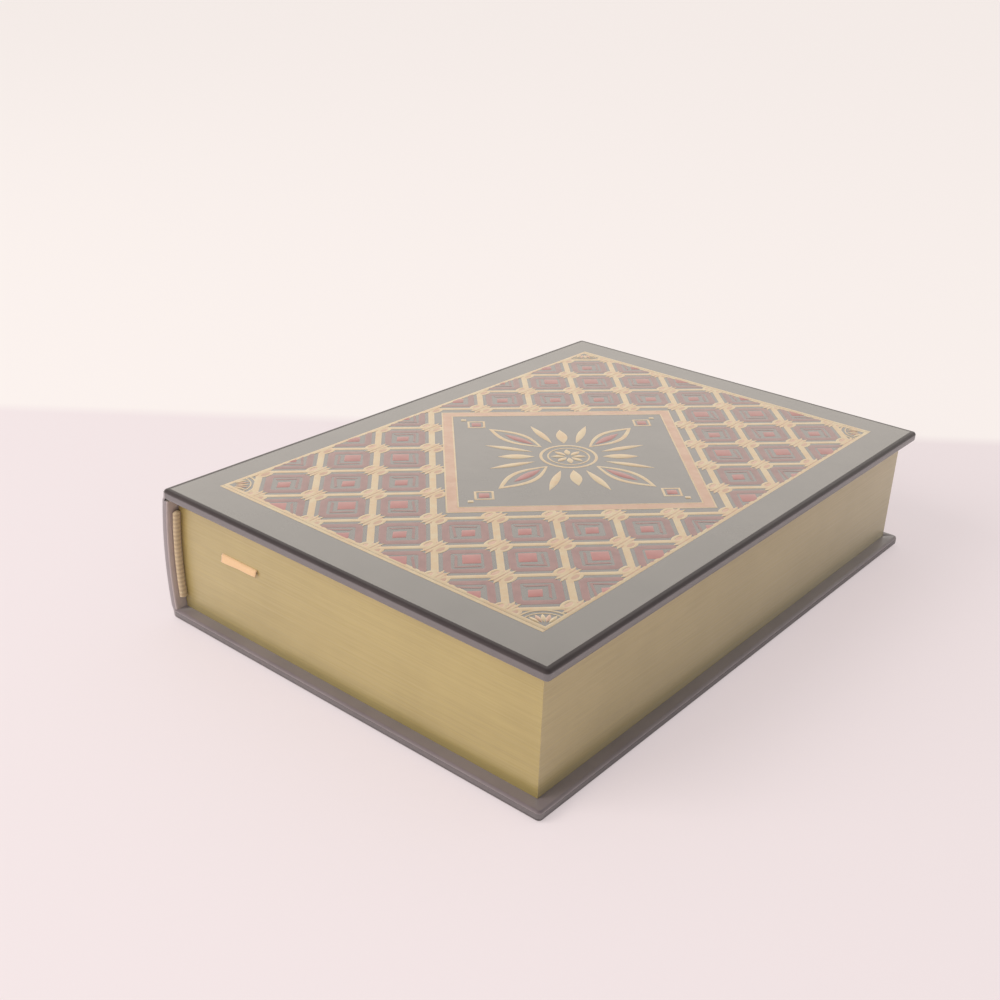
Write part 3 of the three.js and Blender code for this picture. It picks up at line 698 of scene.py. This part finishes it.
def felt_sheet(low, high, rim=4.0, edge=0.8):
    """Rings of the slab's outline carried over its rounded edge, closed by grids above and below.
    The top is lifted, inside its rim, by soft waves and by a low dome over each rivet."""
    a = np.linspace(-np.pi / 2, np.pi / 2, 9)
    insets = np.concatenate([[rim], edge - edge * np.cos(a), [rim]])
    middle, half = (low[2] + high[2]) / 2, (high[2] - low[2]) / 2 - 0.1
    heights = middle + half * np.concatenate([[-1], np.sin(a), [1]])
    box = (low[0] + 0.2, high[0] - 0.2, low[1] + 0.2, high[1] - 0.2)
    along = spread(34, 0.01), spread(50, 0.008)
    parts = [grid(rings(insets, heights, box, FELT_CORNER, along), round_columns=True)]
    parts += [flat_grid(box, rim, along, z) for z in (middle - half, middle + half)]
    lifted = []
    for points, faces, finish in parts:
        x, y, z = points.T
        domes = sum(np.exp(-((x - rx) ** 2 + (y - ry) ** 2) / 12) for rx, ry in RIVETS)
        wave = 0.12 * np.sin(x / 9 + 1) * np.sin(y / 13) + 0.35 * domes
        inside = np.minimum(1, np.minimum(np.minimum(x - box[0], box[1] - x),
                                          np.minimum(y - box[2], box[3] - y)) / rim)
        lift = np.where(z > middle + half - 1e-6, wave * inside, 0)
        lifted.append((xyz(x, y, z + lift), faces, finish))
    return lifted


low, high = span("felt_pad")
lining = piece("felt_lining", felt_sheet(low, high), "root", "felt", [felt], ["felt_pad"], crease=60)

# %% [markdown]
# ## Gold tooling
# The front cover is blocked all over: a trellis of gold straps with a knot of rings at each
# crossing, a red lozenge in each opening, a frame of fillets, a fan in each corner, and a
# copper-edged diamond in the middle. On the real book these are foils thinner than a hair.
# Here each is a solid that sits in the leather and stands less than a tenth of a millimetre
# proud, so it also catches light at its edge. They could be one picture mapped on the cover,
# but shapes stay sharp at any distance. Every shape is an outline in cover coordinates, right
# and up, and a last step lays it on the leather.

# %% Outlines of the tooling
RISE = 0.07              # top of the foil above the leather
SUNK = 0.1               # and its underside below


def placed(outline, centres, angle=0.0):
    """One outline (points, 2) turned by an angle in radians and moved to each centre."""
    c, s = math.cos(angle), math.sin(angle)
    return outline @ np.array([[c, s], [-s, c]]) + np.atleast_2d(centres)[:, None]


def oval(across, up, points=20):
    a = np.linspace(0, 2 * np.pi, points, endpoint=False)
    return np.stack([across * np.cos(a), up * np.sin(a)], 1)


def lozenge(across, up, blunt=0.0):
    """A lozenge, its corners cut off by a share of its size, or sharp where blunt is 0."""
    if not blunt:
        return np.array([(across, 0), (0, up), (-across, 0), (0, -up)], float)
    near, far = blunt, 1 - blunt
    return np.array([(far, near), (near, far), (-near, far), (-far, near), (-far, -near),
                     (-near, -far), (near, -far), (far, -near)]) * (across, up)


def leaf(start, length, width, points=9):
    """A pointed leaf along up: half its width is a sine along its length."""
    t = np.linspace(0, 1, points)
    right = np.stack([width / 2 * np.sin(np.pi * t), start + length * t], 1)
    return np.concatenate([right, (right * (-1, 1))[-2:0:-1]])


def unit(ways):
    """Directions of length one."""
    return ways / np.linalg.norm(ways, axis=-1, keepdims=True)


def levels(*outlines):
    """Outlines (count, points, 2), each given a height."""
    return [xyz(outline[..., 0], outline[..., 1], height) for outline, height in outlines]


def ridge(one_side, middle, other_side, rise):
    """A band's section: up from under the leather, over a ridge and down again."""
    return np.stack(levels((one_side, -SUNK), (one_side, rise * 0.4), (middle, rise),
                           (other_side, rise * 0.4), (other_side, -SUNK)), 2)


def plaques(outline, centres=(0, 0), angle=0.0, bevel=0.1, rise=RISE):
    """An outline filled, at each centre: bottom, edge, and a top drawn in towards the middle."""
    shapes = placed(outline, centres, angle)
    middle = shapes.mean(1, keepdims=True)
    top = middle + (shapes - middle) * (1 - bevel)
    return bars(np.stack(levels((shapes, -SUNK), (shapes, rise * 0.4), (top, rise)), 1))


def hoops(outer, inner, centres=(0, 0), angle=0.0, rise=RISE):
    """A closed band between two outlines of the same number of points, at each centre."""
    outer, inner = (placed(outline, centres, angle) for outline in (outer, inner))
    return bars(ridge(outer, (outer + inner) / 2, inner, rise), ring=True)


def straps(starts, ends, width, stations=2):
    """Straight bands from each start to its end."""
    side = (unit(ends - starts)[:, ::-1] * (-1, 1) * width / 2)[:, None]
    line = starts[:, None] + np.linspace(0, 1, stations)[:, None] * (ends - starts)[:, None]
    return bars(ridge(line + side, line, line - side, RISE))


def on_front(points):
    return points + (0, 0, TOP - SKIN)


def on_back(points):
    return points * (1, 1, -1) + (0, 0, SKIN)


def on_spine(points):
    """Right on the tooling runs along the book, up runs from the back cover to the front."""
    y, z, w = points.T
    return xyz(spine_face(z) + SKIN - w, y, z)


def tooling(name, parts, how, body, slot, material):
    """A piece of foil from flat parts, laid on the leather by a function of their points."""
    piece(name, [(how(points), faces, finish) for points, faces, finish in parts], body, slot, [material])


# %% [markdown]
# ### The trellis
# The trellis is a lattice of half cells, 13.6 mm across and 14.4 mm up. Crossings whose column
# and row add to an odd number have a knot, the even ones are the middles of the openings.
# Everything nearer to the middle than five half cells is left out for the diamond.

# %% Trellis, knots and lozenges
MIDDLE = np.array([0.0, 0.89])          # the middle of the pattern
HALF = np.array([13.63, 14.43])         # one half cell
FRAME = (-68.9, 69.6, -101.2, 102.6)    # left, right, tail, head sides of the frame
FILLET = 1.4                            # width of its line
COLUMNS, ROWS, DIAMOND = 5, 7, 5        # half cells from the middle to the last column, the last
                                        # row and the edge of the diamond

column, row = np.meshgrid(np.arange(-COLUMNS, COLUMNS + 1), np.arange(-ROWS, ROWS + 1), indexing="ij")
lattice = np.stack([column.ravel(), row.ravel()], 1)
reach, is_odd = abs(lattice).sum(1), lattice.sum(1) % 2 == 1
knots = lattice[is_odd & (reach >= DIAMOND)]
cells = lattice[~is_odd & (reach > DIAMOND) & (reach < COLUMNS + ROWS)]


def at(crossings):
    return MIDDLE + crossings * HALF


def strap_ends(step, short=3.3):
    """Starts and ends of the straps that leave the knots one way, both ends a knot on the cover.
    A strap stops short of the middle of its knots."""
    other = knots + step
    kept = (abs(other) <= (COLUMNS, ROWS)).all(1) & (abs(other).sum(1) >= DIAMOND)
    a, b = at(knots[kept]), at(other[kept])
    cut_off = unit(b - a) * short
    return a + cut_off, b - cut_off


def knot_parts(centres, size=1.0):
    """Two upright rings side by side, and two bowed spindles that stand between them."""
    parts = []
    for side in (-1, 1):
        eye = np.array([2.65 * side * size, 0])
        parts.append(hoops(oval(1.85, 3.3) * size, oval(0.8, 1.9) * size, centres + eye, rise=RISE + 0.01))
        t = np.linspace(-1, 1, 11)
        mid = np.stack([(0.66 + 0.4 * t ** 4) * side, 5.3 * t], 1) * size
        half = (0.42 * size * np.sqrt(1 - t ** 6) + 0.04)[:, None] * (1, 0)
        spindle = np.concatenate([mid + half, (mid - half)[::-1]])
        parts.append(plaques(spindle, centres, bevel=0, rise=RISE + 0.008))
    return parts


trellis = [straps(*strap_ends((1, -1)), 2.3), straps(*strap_ends((1, 1)), 1.9)] + knot_parts(at(knots))
# The low copper oval that fills each knot behind its rings.
knot_grounds = [plaques(oval(3.4, 4.0), at(knots), bevel=0.08, rise=0.035)]

# %% [markdown]
# ### Fitting the trellis to its frame
# The outer knots and openings run under the frame's fillets, so the trellis is cut along the
# middle of each fillet and the cut faces are closed, as the die's shapes end there.

# %% Cut to the frame
def cut_to_frame(parts):
    """Cuts parts by the four upright planes along the fillets, keeps the inside, closes the cuts."""
    mesh = mesh_of("cutting", parts)
    work = bmesh.new()
    work.from_mesh(mesh)
    for k, (axis, way) in enumerate((((1, 0, 0), -1), ((1, 0, 0), 1), ((0, 1, 0), -1), ((0, 1, 0), 1))):
        place = np.array(axis) * (FRAME[k] - way * FILLET / 2)
        everything = work.verts[:] + work.edges[:] + work.faces[:]
        cut = bmesh.ops.bisect_plane(work, geom=everything, plane_co=place, plane_no=np.array(axis) * way,
                                     clear_outer=True, dist=1e-5)
        edges = [e for e in cut["geom_cut"] if isinstance(e, bmesh.types.BMEdge)]
        bmesh.ops.holes_fill(work, edges=edges, sides=0)
    work.to_mesh(mesh)
    work.free()
    return [part_of(mesh)]


def rectangle(inset, box=FRAME):
    left, right, tail, head = box
    return np.array([(right - inset, tail + inset), (right - inset, head - inset),
                     (left + inset, head - inset), (left + inset, tail + inset)])


def corner_fan(corner, turn):
    """Two arcs and five leaves in a corner of the frame, turned to face the middle."""
    a = np.linspace(0, np.pi / 2, 13)
    arc = np.stack([np.cos(a), np.sin(a)], 1)
    gold, copper = [], []
    for outer, inner in ((9.2, 8.55), (7.4, 6.95)):
        gold.append(plaques(np.concatenate([arc * outer, arc[::-1] * inner]), corner, turn, bevel=0))
    for angle in (9, 27, 45, 63, 81):
        petal = plaques(leaf(2.2, 4.7, 1.35), corner, turn + math.radians(angle - 90), 0.15)
        (copper if angle in (27, 63) else gold).append(petal)
    return gold, copper


# The rectangle's corners go round from right and tail, and the fans from left and tail.
fans = [corner_fan(corner, k * math.pi / 2) for k, corner in enumerate(np.roll(rectangle(FILLET), 1, 0))]
fan_gold, fan_copper = (sum(shapes, []) for shapes in zip(*fans))

# %% [markdown]
# ### The diamond
# A copper band between two gold lines borders the diamond. Its middle carries a plain
# traditional centrepiece of leaves, rings and small lozenges, set symmetrically.

# %% Centrepiece
GROW = 1.17              # the centrepiece's leaves and rings are drawn first and then grown by this


def diamond(across):
    """The outline of a diamond as slanted as the trellis."""
    return lozenge(across, across * HALF[1] / HALF[0])


def centrepiece():
    """Leaves every 45 degrees round two rings, long ones towards the diamond's corners."""
    def ring(radius):
        return oval(radius, radius * 1.04, 40) * GROW

    def petal(*shape):
        return leaf(*shape) * GROW

    gold, red = [hoops(ring(9.0), ring(8.1), MIDDLE), hoops(ring(6.6), ring(6.1), MIDDLE)], []
    for k in range(8):
        turn = k * math.pi / 4
        gold.append(plaques(petal(1.0, 4.6, 1.9), MIDDLE, turn, 0.15))
        if k % 2:
            gold.append(plaques(petal(10.6, 11.5, 3.6), MIDDLE, turn, 0.15))
            continue
        tall = 1.0 if k % 4 else 1.06
        gold.append(hoops(petal(10.6, 22 * tall, 8.4, 17), petal(12.0, 18.6 * tall, 5.6, 17), MIDDLE, turn))
        red.append(plaques(petal(14.0, 12.0 * tall, 2.8), MIDDLE, turn))
        gold += [plaques(petal(11.5, 15.5, 2.5), MIDDLE, turn + lean, 0.15) for lean in (-0.44, 0.44)]
        out = tall * np.array([-math.sin(turn), math.cos(turn)])
        near, far = MIDDLE + 44.5 * out, MIDDLE + 51 * out
        gold += [hoops(lozenge(4.6, 4.9), lozenge(3.5, 3.75), near), plaques(lozenge(1.3, 1.4), far)]
        red.append(plaques(lozenge(2.4, 2.6), near))
    gold += [hoops(diamond(outer), diamond(inner), MIDDLE) for outer, inner in ((62.6, 61.9), (57.3, 56.6))]
    return gold, [hoops(diamond(61.9), diamond(57.3), MIDDLE, rise=RISE * 0.6)], red


centre_gold, centre_copper, centre_red = centrepiece()
fillets = [hoops(rectangle(0), rectangle(FILLET))]
for edge in (FRAME[2] - 1.45, FRAME[3] + 0.15):
    fillets.append(plaques(rectangle(0, (*FRAME[:2], edge, edge + 1.3)), bevel=0, rise=RISE * 0.6))

tooling("front_gold_tooling", cut_to_frame(trellis) + fillets + fan_gold + centre_gold, on_front,
        "front_cover", "gold_foil", gold_foil)
tooling("front_copper_tooling", cut_to_frame(knot_grounds) + fan_copper + centre_copper, on_front,
        "front_cover", "copper_foil", copper_foil)

# %% [markdown]
# ### Red lozenges
# Each opening holds a maroon lozenge outline, a chevron and a red lozenge that is moved to
# the side away from the chevron. The side changes from row to row and the size from opening
# to opening, which makes the openings look folded.

# %% Lozenges in the openings
# A big red lozenge is moved up or to the left, a small one down or to the right.
is_big = ((cells[:, 0] - cells[:, 1]) // 2) % 2 == 0
is_upright = cells[:, 1] % 2 == 0
CHEVRON = np.array([(-5.5, 0.3), (0, -5.9), (5.5, 0.3), (4.3, 0.3), (0, -4.6), (-4.3, 0.3)])


def openings():
    """Outline, chevron and middle lozenge of every opening, as maroon and red shapes."""
    centres = at(cells)
    maroon = [hoops(lozenge(10.2, 10.8, 0.13), lozenge(6.9, 7.3, 0.05), centres, rise=0.05)]
    red = []
    for upright, big, way, angle in ((True, True, (0, 1), 0), (True, False, (0, -1), 180),
                                     (False, True, (-1, 0), 90), (False, False, (1, 0), 270)):
        here = centres[(is_upright == upright) & (is_big == big)]
        maroon.append(plaques(CHEVRON, here, math.radians(angle), bevel=0, rise=0.05))
        half_size, move = ((3.9, 4.2), 1.9) if big else ((2.8, 3.3), 1.3)
        red.append(plaques(lozenge(*half_size), here + np.array(way) * move, rise=0.06))
    return maroon, red


maroon_shapes, red_shapes = openings()
tooling("front_maroon_tooling", cut_to_frame(maroon_shapes), on_front, "front_cover", "red_foil",
        maroon_foil)
tooling("front_red_tooling", cut_to_frame(red_shapes) + centre_red, on_front, "front_cover", "red_foil",
        red_foil)

# %% [markdown]
# ### Spine and back
# These carry only plain work in the same foil: pairs of fillets across the spine with a knot
# between, and a frame with one knotted diamond on the back cover.

# %% Spine and back tooling
def spine_tooling():
    """Fillets across the spine follow its bow in thirteen stations; the knots lie between them."""
    edges = (-108, -104.5, -66, -62.5, -23, -19.5, 19.5, 23, 62.5, 66, 104.5, 108)
    low, high = (np.array([(y, z) for y in edges]) for z in (4.6, 39.6))
    places = np.array([(y, 22.5) for y in (-85.2, -42.7, 0, 42.7, 85.2)])
    return [straps(low, high, 0.9, stations=13)] + knot_parts(places, 1.25)


def back_tooling():
    """Two rectangles and two lozenges, one within the other, round one large knot."""
    box, middle = (-68.0, 72.0, -103.0, 103.0), np.array([2.0, 0.0])
    parts = [hoops(rectangle(outer, box), rectangle(inner, box)) for outer, inner in ((0, 1.2), (2.6, 3.0))]
    parts += [hoops(lozenge(*outer), lozenge(*inner), middle)
              for outer, inner in (((30, 34), (28.6, 32.4)), ((26.4, 29.9), (25.9, 29.3)))]
    return parts + knot_parts(middle[None], 1.6)


tooling("spine_gold_tooling", spine_tooling(), on_spine, "root", "gold_foil", gold_foil)
tooling("back_gold_tooling", back_tooling(), on_back, "root", "gold_foil", gold_foil)

# %% [markdown]
# ## The steel box
# The tray, lid and lock parts keep the exact shapes of the solids, but folded steel and cast
# brass never have knife edges. So each solid's mesh is copied, its loose triangles are merged
# and its flat faces joined, and a Bevel modifier rounds every edge by a few tenths of a
# millimetre.

# %% Rounded copies of the solids
BOX_PARTS = [("steel_tray", "box_tray", 0.25, "painted_steel", coat),
             ("steel_lid", "box_lid", 0.2, "painted_steel", coat),
             ("zinc_lock_case", "lock_case", 0.2, "plated_steel", zinc),
             ("lock_shaft", "dial_shaft", 0.15, "plated_steel", zinc),
             ("spring_strip", "detent_spring", 0.08, "plated_steel", zinc),
             ("sliding_bolt", "lock_bolt", 0.25, "plated_steel", zinc),
             ("brass_escutcheon", "escutcheon", 0.2, "brass", brass),
             ("brass_knob", "bolt_knob", 0.2, "brass", brass)]
BOX_PARTS += [(f"dial_wheel_{k}", f"dial_{k}", 0.18, "dial_plastic", dial_black) for k in (1, 2, 3)]

for name, node, width, slot, material in BOX_PARTS:
    source = frame["nodes"][node]
    mesh = mesh_of(name, [part_of(source.data)])
    made = finished(name, mesh, source["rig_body"], slot, [material], [node], crease=30, flats=True)
    bevel = made.modifiers.new("rounded edges", "BEVEL")
    bevel.width = width * MM
    bevel.segments = 2
    bevel.limit_method = "ANGLE"
    bevel.angle_limit = math.radians(32)
    bevel.harden_normals = True

# %% [markdown]
# ### Turned parts
# Rivets, screws and the hinge pin are turned or headed, so each is a profile carried round an
# axis: radius and height along one way, the angle along the other.

# %% Turned parts
RIVET = [(0, 6.1), (1.2, 6.06), (2.2, 5.88), (2.9, 5.55), (3.3, 5.2), (3.4, 5.0), (1.6, 5.0), (1.6, 1.0),
         (0, 1.0)]
PIN = 0.98               # radius of the hinge pin, whose ends are chamfered


def turned(profile, centre, steps=32, along_book=False):
    """A profile of (radius, height) carried round an upright axis, or one along the book. A radius
    is one number, or one for every step."""
    a = np.linspace(0, 2 * np.pi, steps, endpoint=False)
    r = np.stack([np.full(steps, radius) for radius, _ in profile])
    x, y, h = r * np.cos(a), r * np.sin(a), np.array([[height] for _, height in profile])
    return grid((xyz(x, h, y) if along_book else xyz(x, y, h)) + centre, round_columns=True)


def zinc_part(name, part, body, node):
    piece(name, [part], body, "plated_steel", [zinc], [node], crease=40)


for k, (x, y) in enumerate(RIVETS, 1):
    zinc_part(f"tray_rivet_head_{k}", turned(RIVET, (x, y, 0)), "root", f"tray_rivet_{k}")

low, high = span("lid_hinge_pin")
ends = [(0, low[1]), (0.7, low[1]), (PIN, low[1] + 0.3), (PIN, high[1] - 0.3), (0.7, high[1]), (0, high[1])]
middle = ((low[0] + high[0]) / 2, 0, (low[2] + high[2]) / 2)
zinc_part("hinge_pin", turned(ends, middle, 24, along_book=True), "root", "lid_hinge_pin")

# %% [markdown]
# The case screws lie head down. The rows inside the head follow a hexagon, whose radius at
# each angle is its inner radius over the cosine from the middle of the nearest flat.

# %% Case screws
STEPS = 36
hexagon = 1.0 / np.cos(np.linspace(0, 2 * np.pi, STEPS, endpoint=False) % (np.pi / 3) - np.pi / 6)
SCREW_HEAD = [(0, 0.7), (hexagon, 0.7), (hexagon, 0.0), (2.1, 0.0), (2.35, 0.25), (2.4, 1.3), (1.2, 1.3)]
for k in (1, 2, 3, 4):
    low, high = span(f"case_screw_{k}")
    x, y, _ = (low + high) / 2
    screw = SCREW_HEAD + [(1.2, high[2] - low[2]), (0, high[2] - low[2])]
    zinc_part(f"socket_screw_{k}", turned(screw, (x, y, low[2]), STEPS), "lid", f"case_screw_{k}")

# %% [markdown]
# ### Numbers on the dials
# Each dial has ten flats with a number painted on each. Blender's own letter shapes are made
# a mesh first. A number's outline then takes its place by three directions of its flat: along
# the shaft, up round the wheel, and out from it.

# %% Dial numbers
FLAT_AT = 6.82           # distance of a flat from the shaft's middle, mm


def number_part(digit):
    """A digit 2.7 mm high, centred, a few hundredths thick."""
    text = bpy.data.curves.new("digit", "FONT")
    text.body = str(digit)
    text.size = 3.8
    text.extrude = 0.03
    text.resolution_u = 3
    holder = in_scene("digit", text)
    made = bpy.data.meshes.new_from_object(holder.evaluated_get(bpy.context.evaluated_depsgraph_get()))
    bpy.data.objects.remove(holder)
    points, faces, _ = part_of(made)
    points[:, :2] -= (points[:, :2].min(0) + points[:, :2].max(0)) / 2
    return points, faces


digits = [number_part(k) for k in range(10)]
for k, body in enumerate(("dial_a", "dial_b", "dial_c"), 1):
    low, high = span(f"dial_{k}")
    parts = []
    for number, (points, faces) in enumerate(digits):
        a = math.pi / 2 + number * math.pi / 5
        ways = np.array([(0, 1, 0), (-math.sin(a), 0, math.cos(a)), (math.cos(a), 0, math.sin(a))])
        parts.append(((low + high) / 2 + (points + (0, 0, FLAT_AT)) @ ways, faces, 0))
    piece(f"dial_numbers_{k}", parts, body, "dial_plastic", [number_white])

# %% [markdown]
# ## Finishes for the solids that stay
# The boards, endpapers and flyleaf are flat and already right, so they keep their solids and
# only take a finish.

# %% Finish the kept solids
for node, material in (("front_board", board), ("back_board", board), ("spine_board", board),
                       ("front_pastedown", end_paper), ("back_pastedown", end_paper),
                       ("front_flyleaf", end_paper)):
    slots = frame["nodes"][node].data.materials
    slots.clear()
    slots.append(material)
print("kept solids:", sorted(n for n, o in frame["nodes"].items() if not o.hide_render))

# %% [markdown]
# ## Table, light and camera
# The book lies on a pale table before a pale wall. A large soft lamp at the tail side lights
# it as a window would, and an even pale sky fills the rest. The camera sees the table partly
# as paint and partly as plain light, so that it is as pale as a studio's while the soft shadow
# under the book stays. Past a line behind the book its paint is paler, as where a table ends
# and a wall begins. The same pale room shows in the gold and the glaze.

# %% Table
def table_top():
    """White paint with a faint warm tint, even and matt."""
    material, tree, shader, place = start_finish("pale_table_paint", Roughness=0.6)
    # The direction away from the camera, and how far along it the paint turns paler, in metres.
    away, start, end = (-0.635, 0.7726, 0), 0.150, 0.162
    far = add(tree, "VectorMath", {0: place, 1: away}, operation="DOT_PRODUCT").outputs["Value"]
    edge = add(tree, "MapRange", {0: far, 1: start, 2: end}).outputs[0]
    shade = add(tree, "Mix", {0: edge, 6: colour("#f6e9ea"), 7: colour("#fdf4f0")},
                data_type="RGBA").outputs[2]
    tree.links.new(shade, shader.inputs["Base Color"])
    glow = add(tree, "Emission", {"Color": shade, "Strength": 1.0})
    part = add(tree, "MapRange", {0: edge, 3: 0.55, 4: 0.8}).outputs[0]
    seen = add(tree, "LightPath").outputs["Is Camera Ray"]
    share = add(tree, "Math", {0: seen, 1: part}, operation="MULTIPLY").outputs[0]
    mixed = add(tree, "MixShader", {0: share, 1: shader.outputs[0], 2: glow.outputs[0]})
    tree.links.new(mixed.outputs[0], tree.nodes["Material Output"].inputs["Surface"])
    return material


TABLE, BELOW = 6.0, 0.0001              # half of its side, and how far it lies under the book, in metres
corners = [(x * TABLE, y * TABLE, -BELOW) for x, y in ((-1, -1), (1, -1), (1, 1), (-1, 1))]
mesh = mesh_of("table", [(np.array(corners), [(0, 1, 2, 3)], 0)])
mesh.materials.append(table_top())
in_scene("table", mesh)

# %% [markdown]
# ### Room and lamp
# The camera sees a pale, even room. In mirroring surfaces the same room grows darker upwards
# and to some sides, as a real one does. Matt surfaces take their light from an even fill.

# %% Light
UP, RIGHT_HAND, NEARER = (0, 0, 1), (0.763, 0.645, 0), (0.631, -0.776, 0)      # as the camera sees it
# The direction the room grows darker along, where that starts and ends, and the light left there.
FALLS = [(UP, 0.34, 0.6, 0.57), (UP, 0.55, 0.74, 0.25), (RIGHT_HAND, -0.3, 0.35, 0.86),
         (NEARER, -0.62, -0.2, 0.3)]

world = bpy.data.worlds.new("pale room")
bpy.context.scene.world = world
world.use_nodes = True
sky = world.node_tree
sky.nodes.clear()
ray = add(sky, "LightPath").outputs
seen = ray["Is Camera Ray"]
for kind in ("Is Glossy Ray", "Is Transmission Ray"):
    seen = add(sky, "Math", {0: seen, 1: ray[kind]}, operation="MAXIMUM").outputs[0]
looked = add(sky, "TexCoord").outputs["Generated"]
wall = 1.0
for way, start, end, left in FALLS:
    along = add(sky, "VectorMath", {0: looked, 1: way}, operation="DOT_PRODUCT").outputs["Value"]
    share = add(sky, "MapRange", {0: along, 1: start, 2: end, 3: 1.0, 4: left}).outputs[0]
    wall = add(sky, "Math", {0: wall, 1: share}, operation="MULTIPLY").outputs[0]
level = add(sky, "Mix", {0: ray["Is Camera Ray"], 2: wall, 3: 1.0}, data_type="FLOAT").outputs[0]
fill = add(sky, "Background", {"Color": (1.0, 0.985, 0.975, 1), "Strength": 0.62}).outputs[0]
room = add(sky, "Background", {"Color": colour("#fff6ec"), "Strength": level}).outputs[0]
mixed = add(sky, "MixShader", {0: seen, 1: fill, 2: room})
add(sky, "OutputWorld", {"Surface": mixed.outputs[0]})


def posed(data, place, right, up, back):
    """A lamp or camera at a place in metres. It looks away from back."""
    made = in_scene(data.name, data)
    turn = np.stack([right, up, back], 1)
    made.matrix_world = Matrix([[*row, p] for row, p in zip(turn, place)] + [[0, 0, 0, 1]])
    return made


light = bpy.data.lights.new("window", "AREA")
light.size = 1.1         # metres
light.energy = 20        # watts
light.color = (1.0, 0.98, 0.95)
window, target = np.array([-0.7, -1.3, 1.0]), np.array([0, 0, 0.03])
back = unit(window - target)
side = unit(np.cross((0, 0, 1), back))
posed(light, window, side, np.cross(back, side), back).visible_glossy = False

# %% [markdown]
# ### Camera
# The camera's place, its three directions and its focal length were solved from the edges
# and corners of the covers, on a square picture and a sensor 36 mm wide.

# %% Camera
lens = bpy.data.cameras.new("camera")
lens.sensor_width = 36
lens.lens = 44.58
camera = posed(lens, (0.24333411, -0.33677523, 0.2238751), right=(0.76536603, 0.64273022, 0.03335737),
               up=(-0.29423885, 0.30334369, 0.90631458), back=(0.57239702, -0.70347742, 0.42128516))
bpy.context.scene.camera = camera
bpy.context.scene.view_settings.view_transform = "Standard"
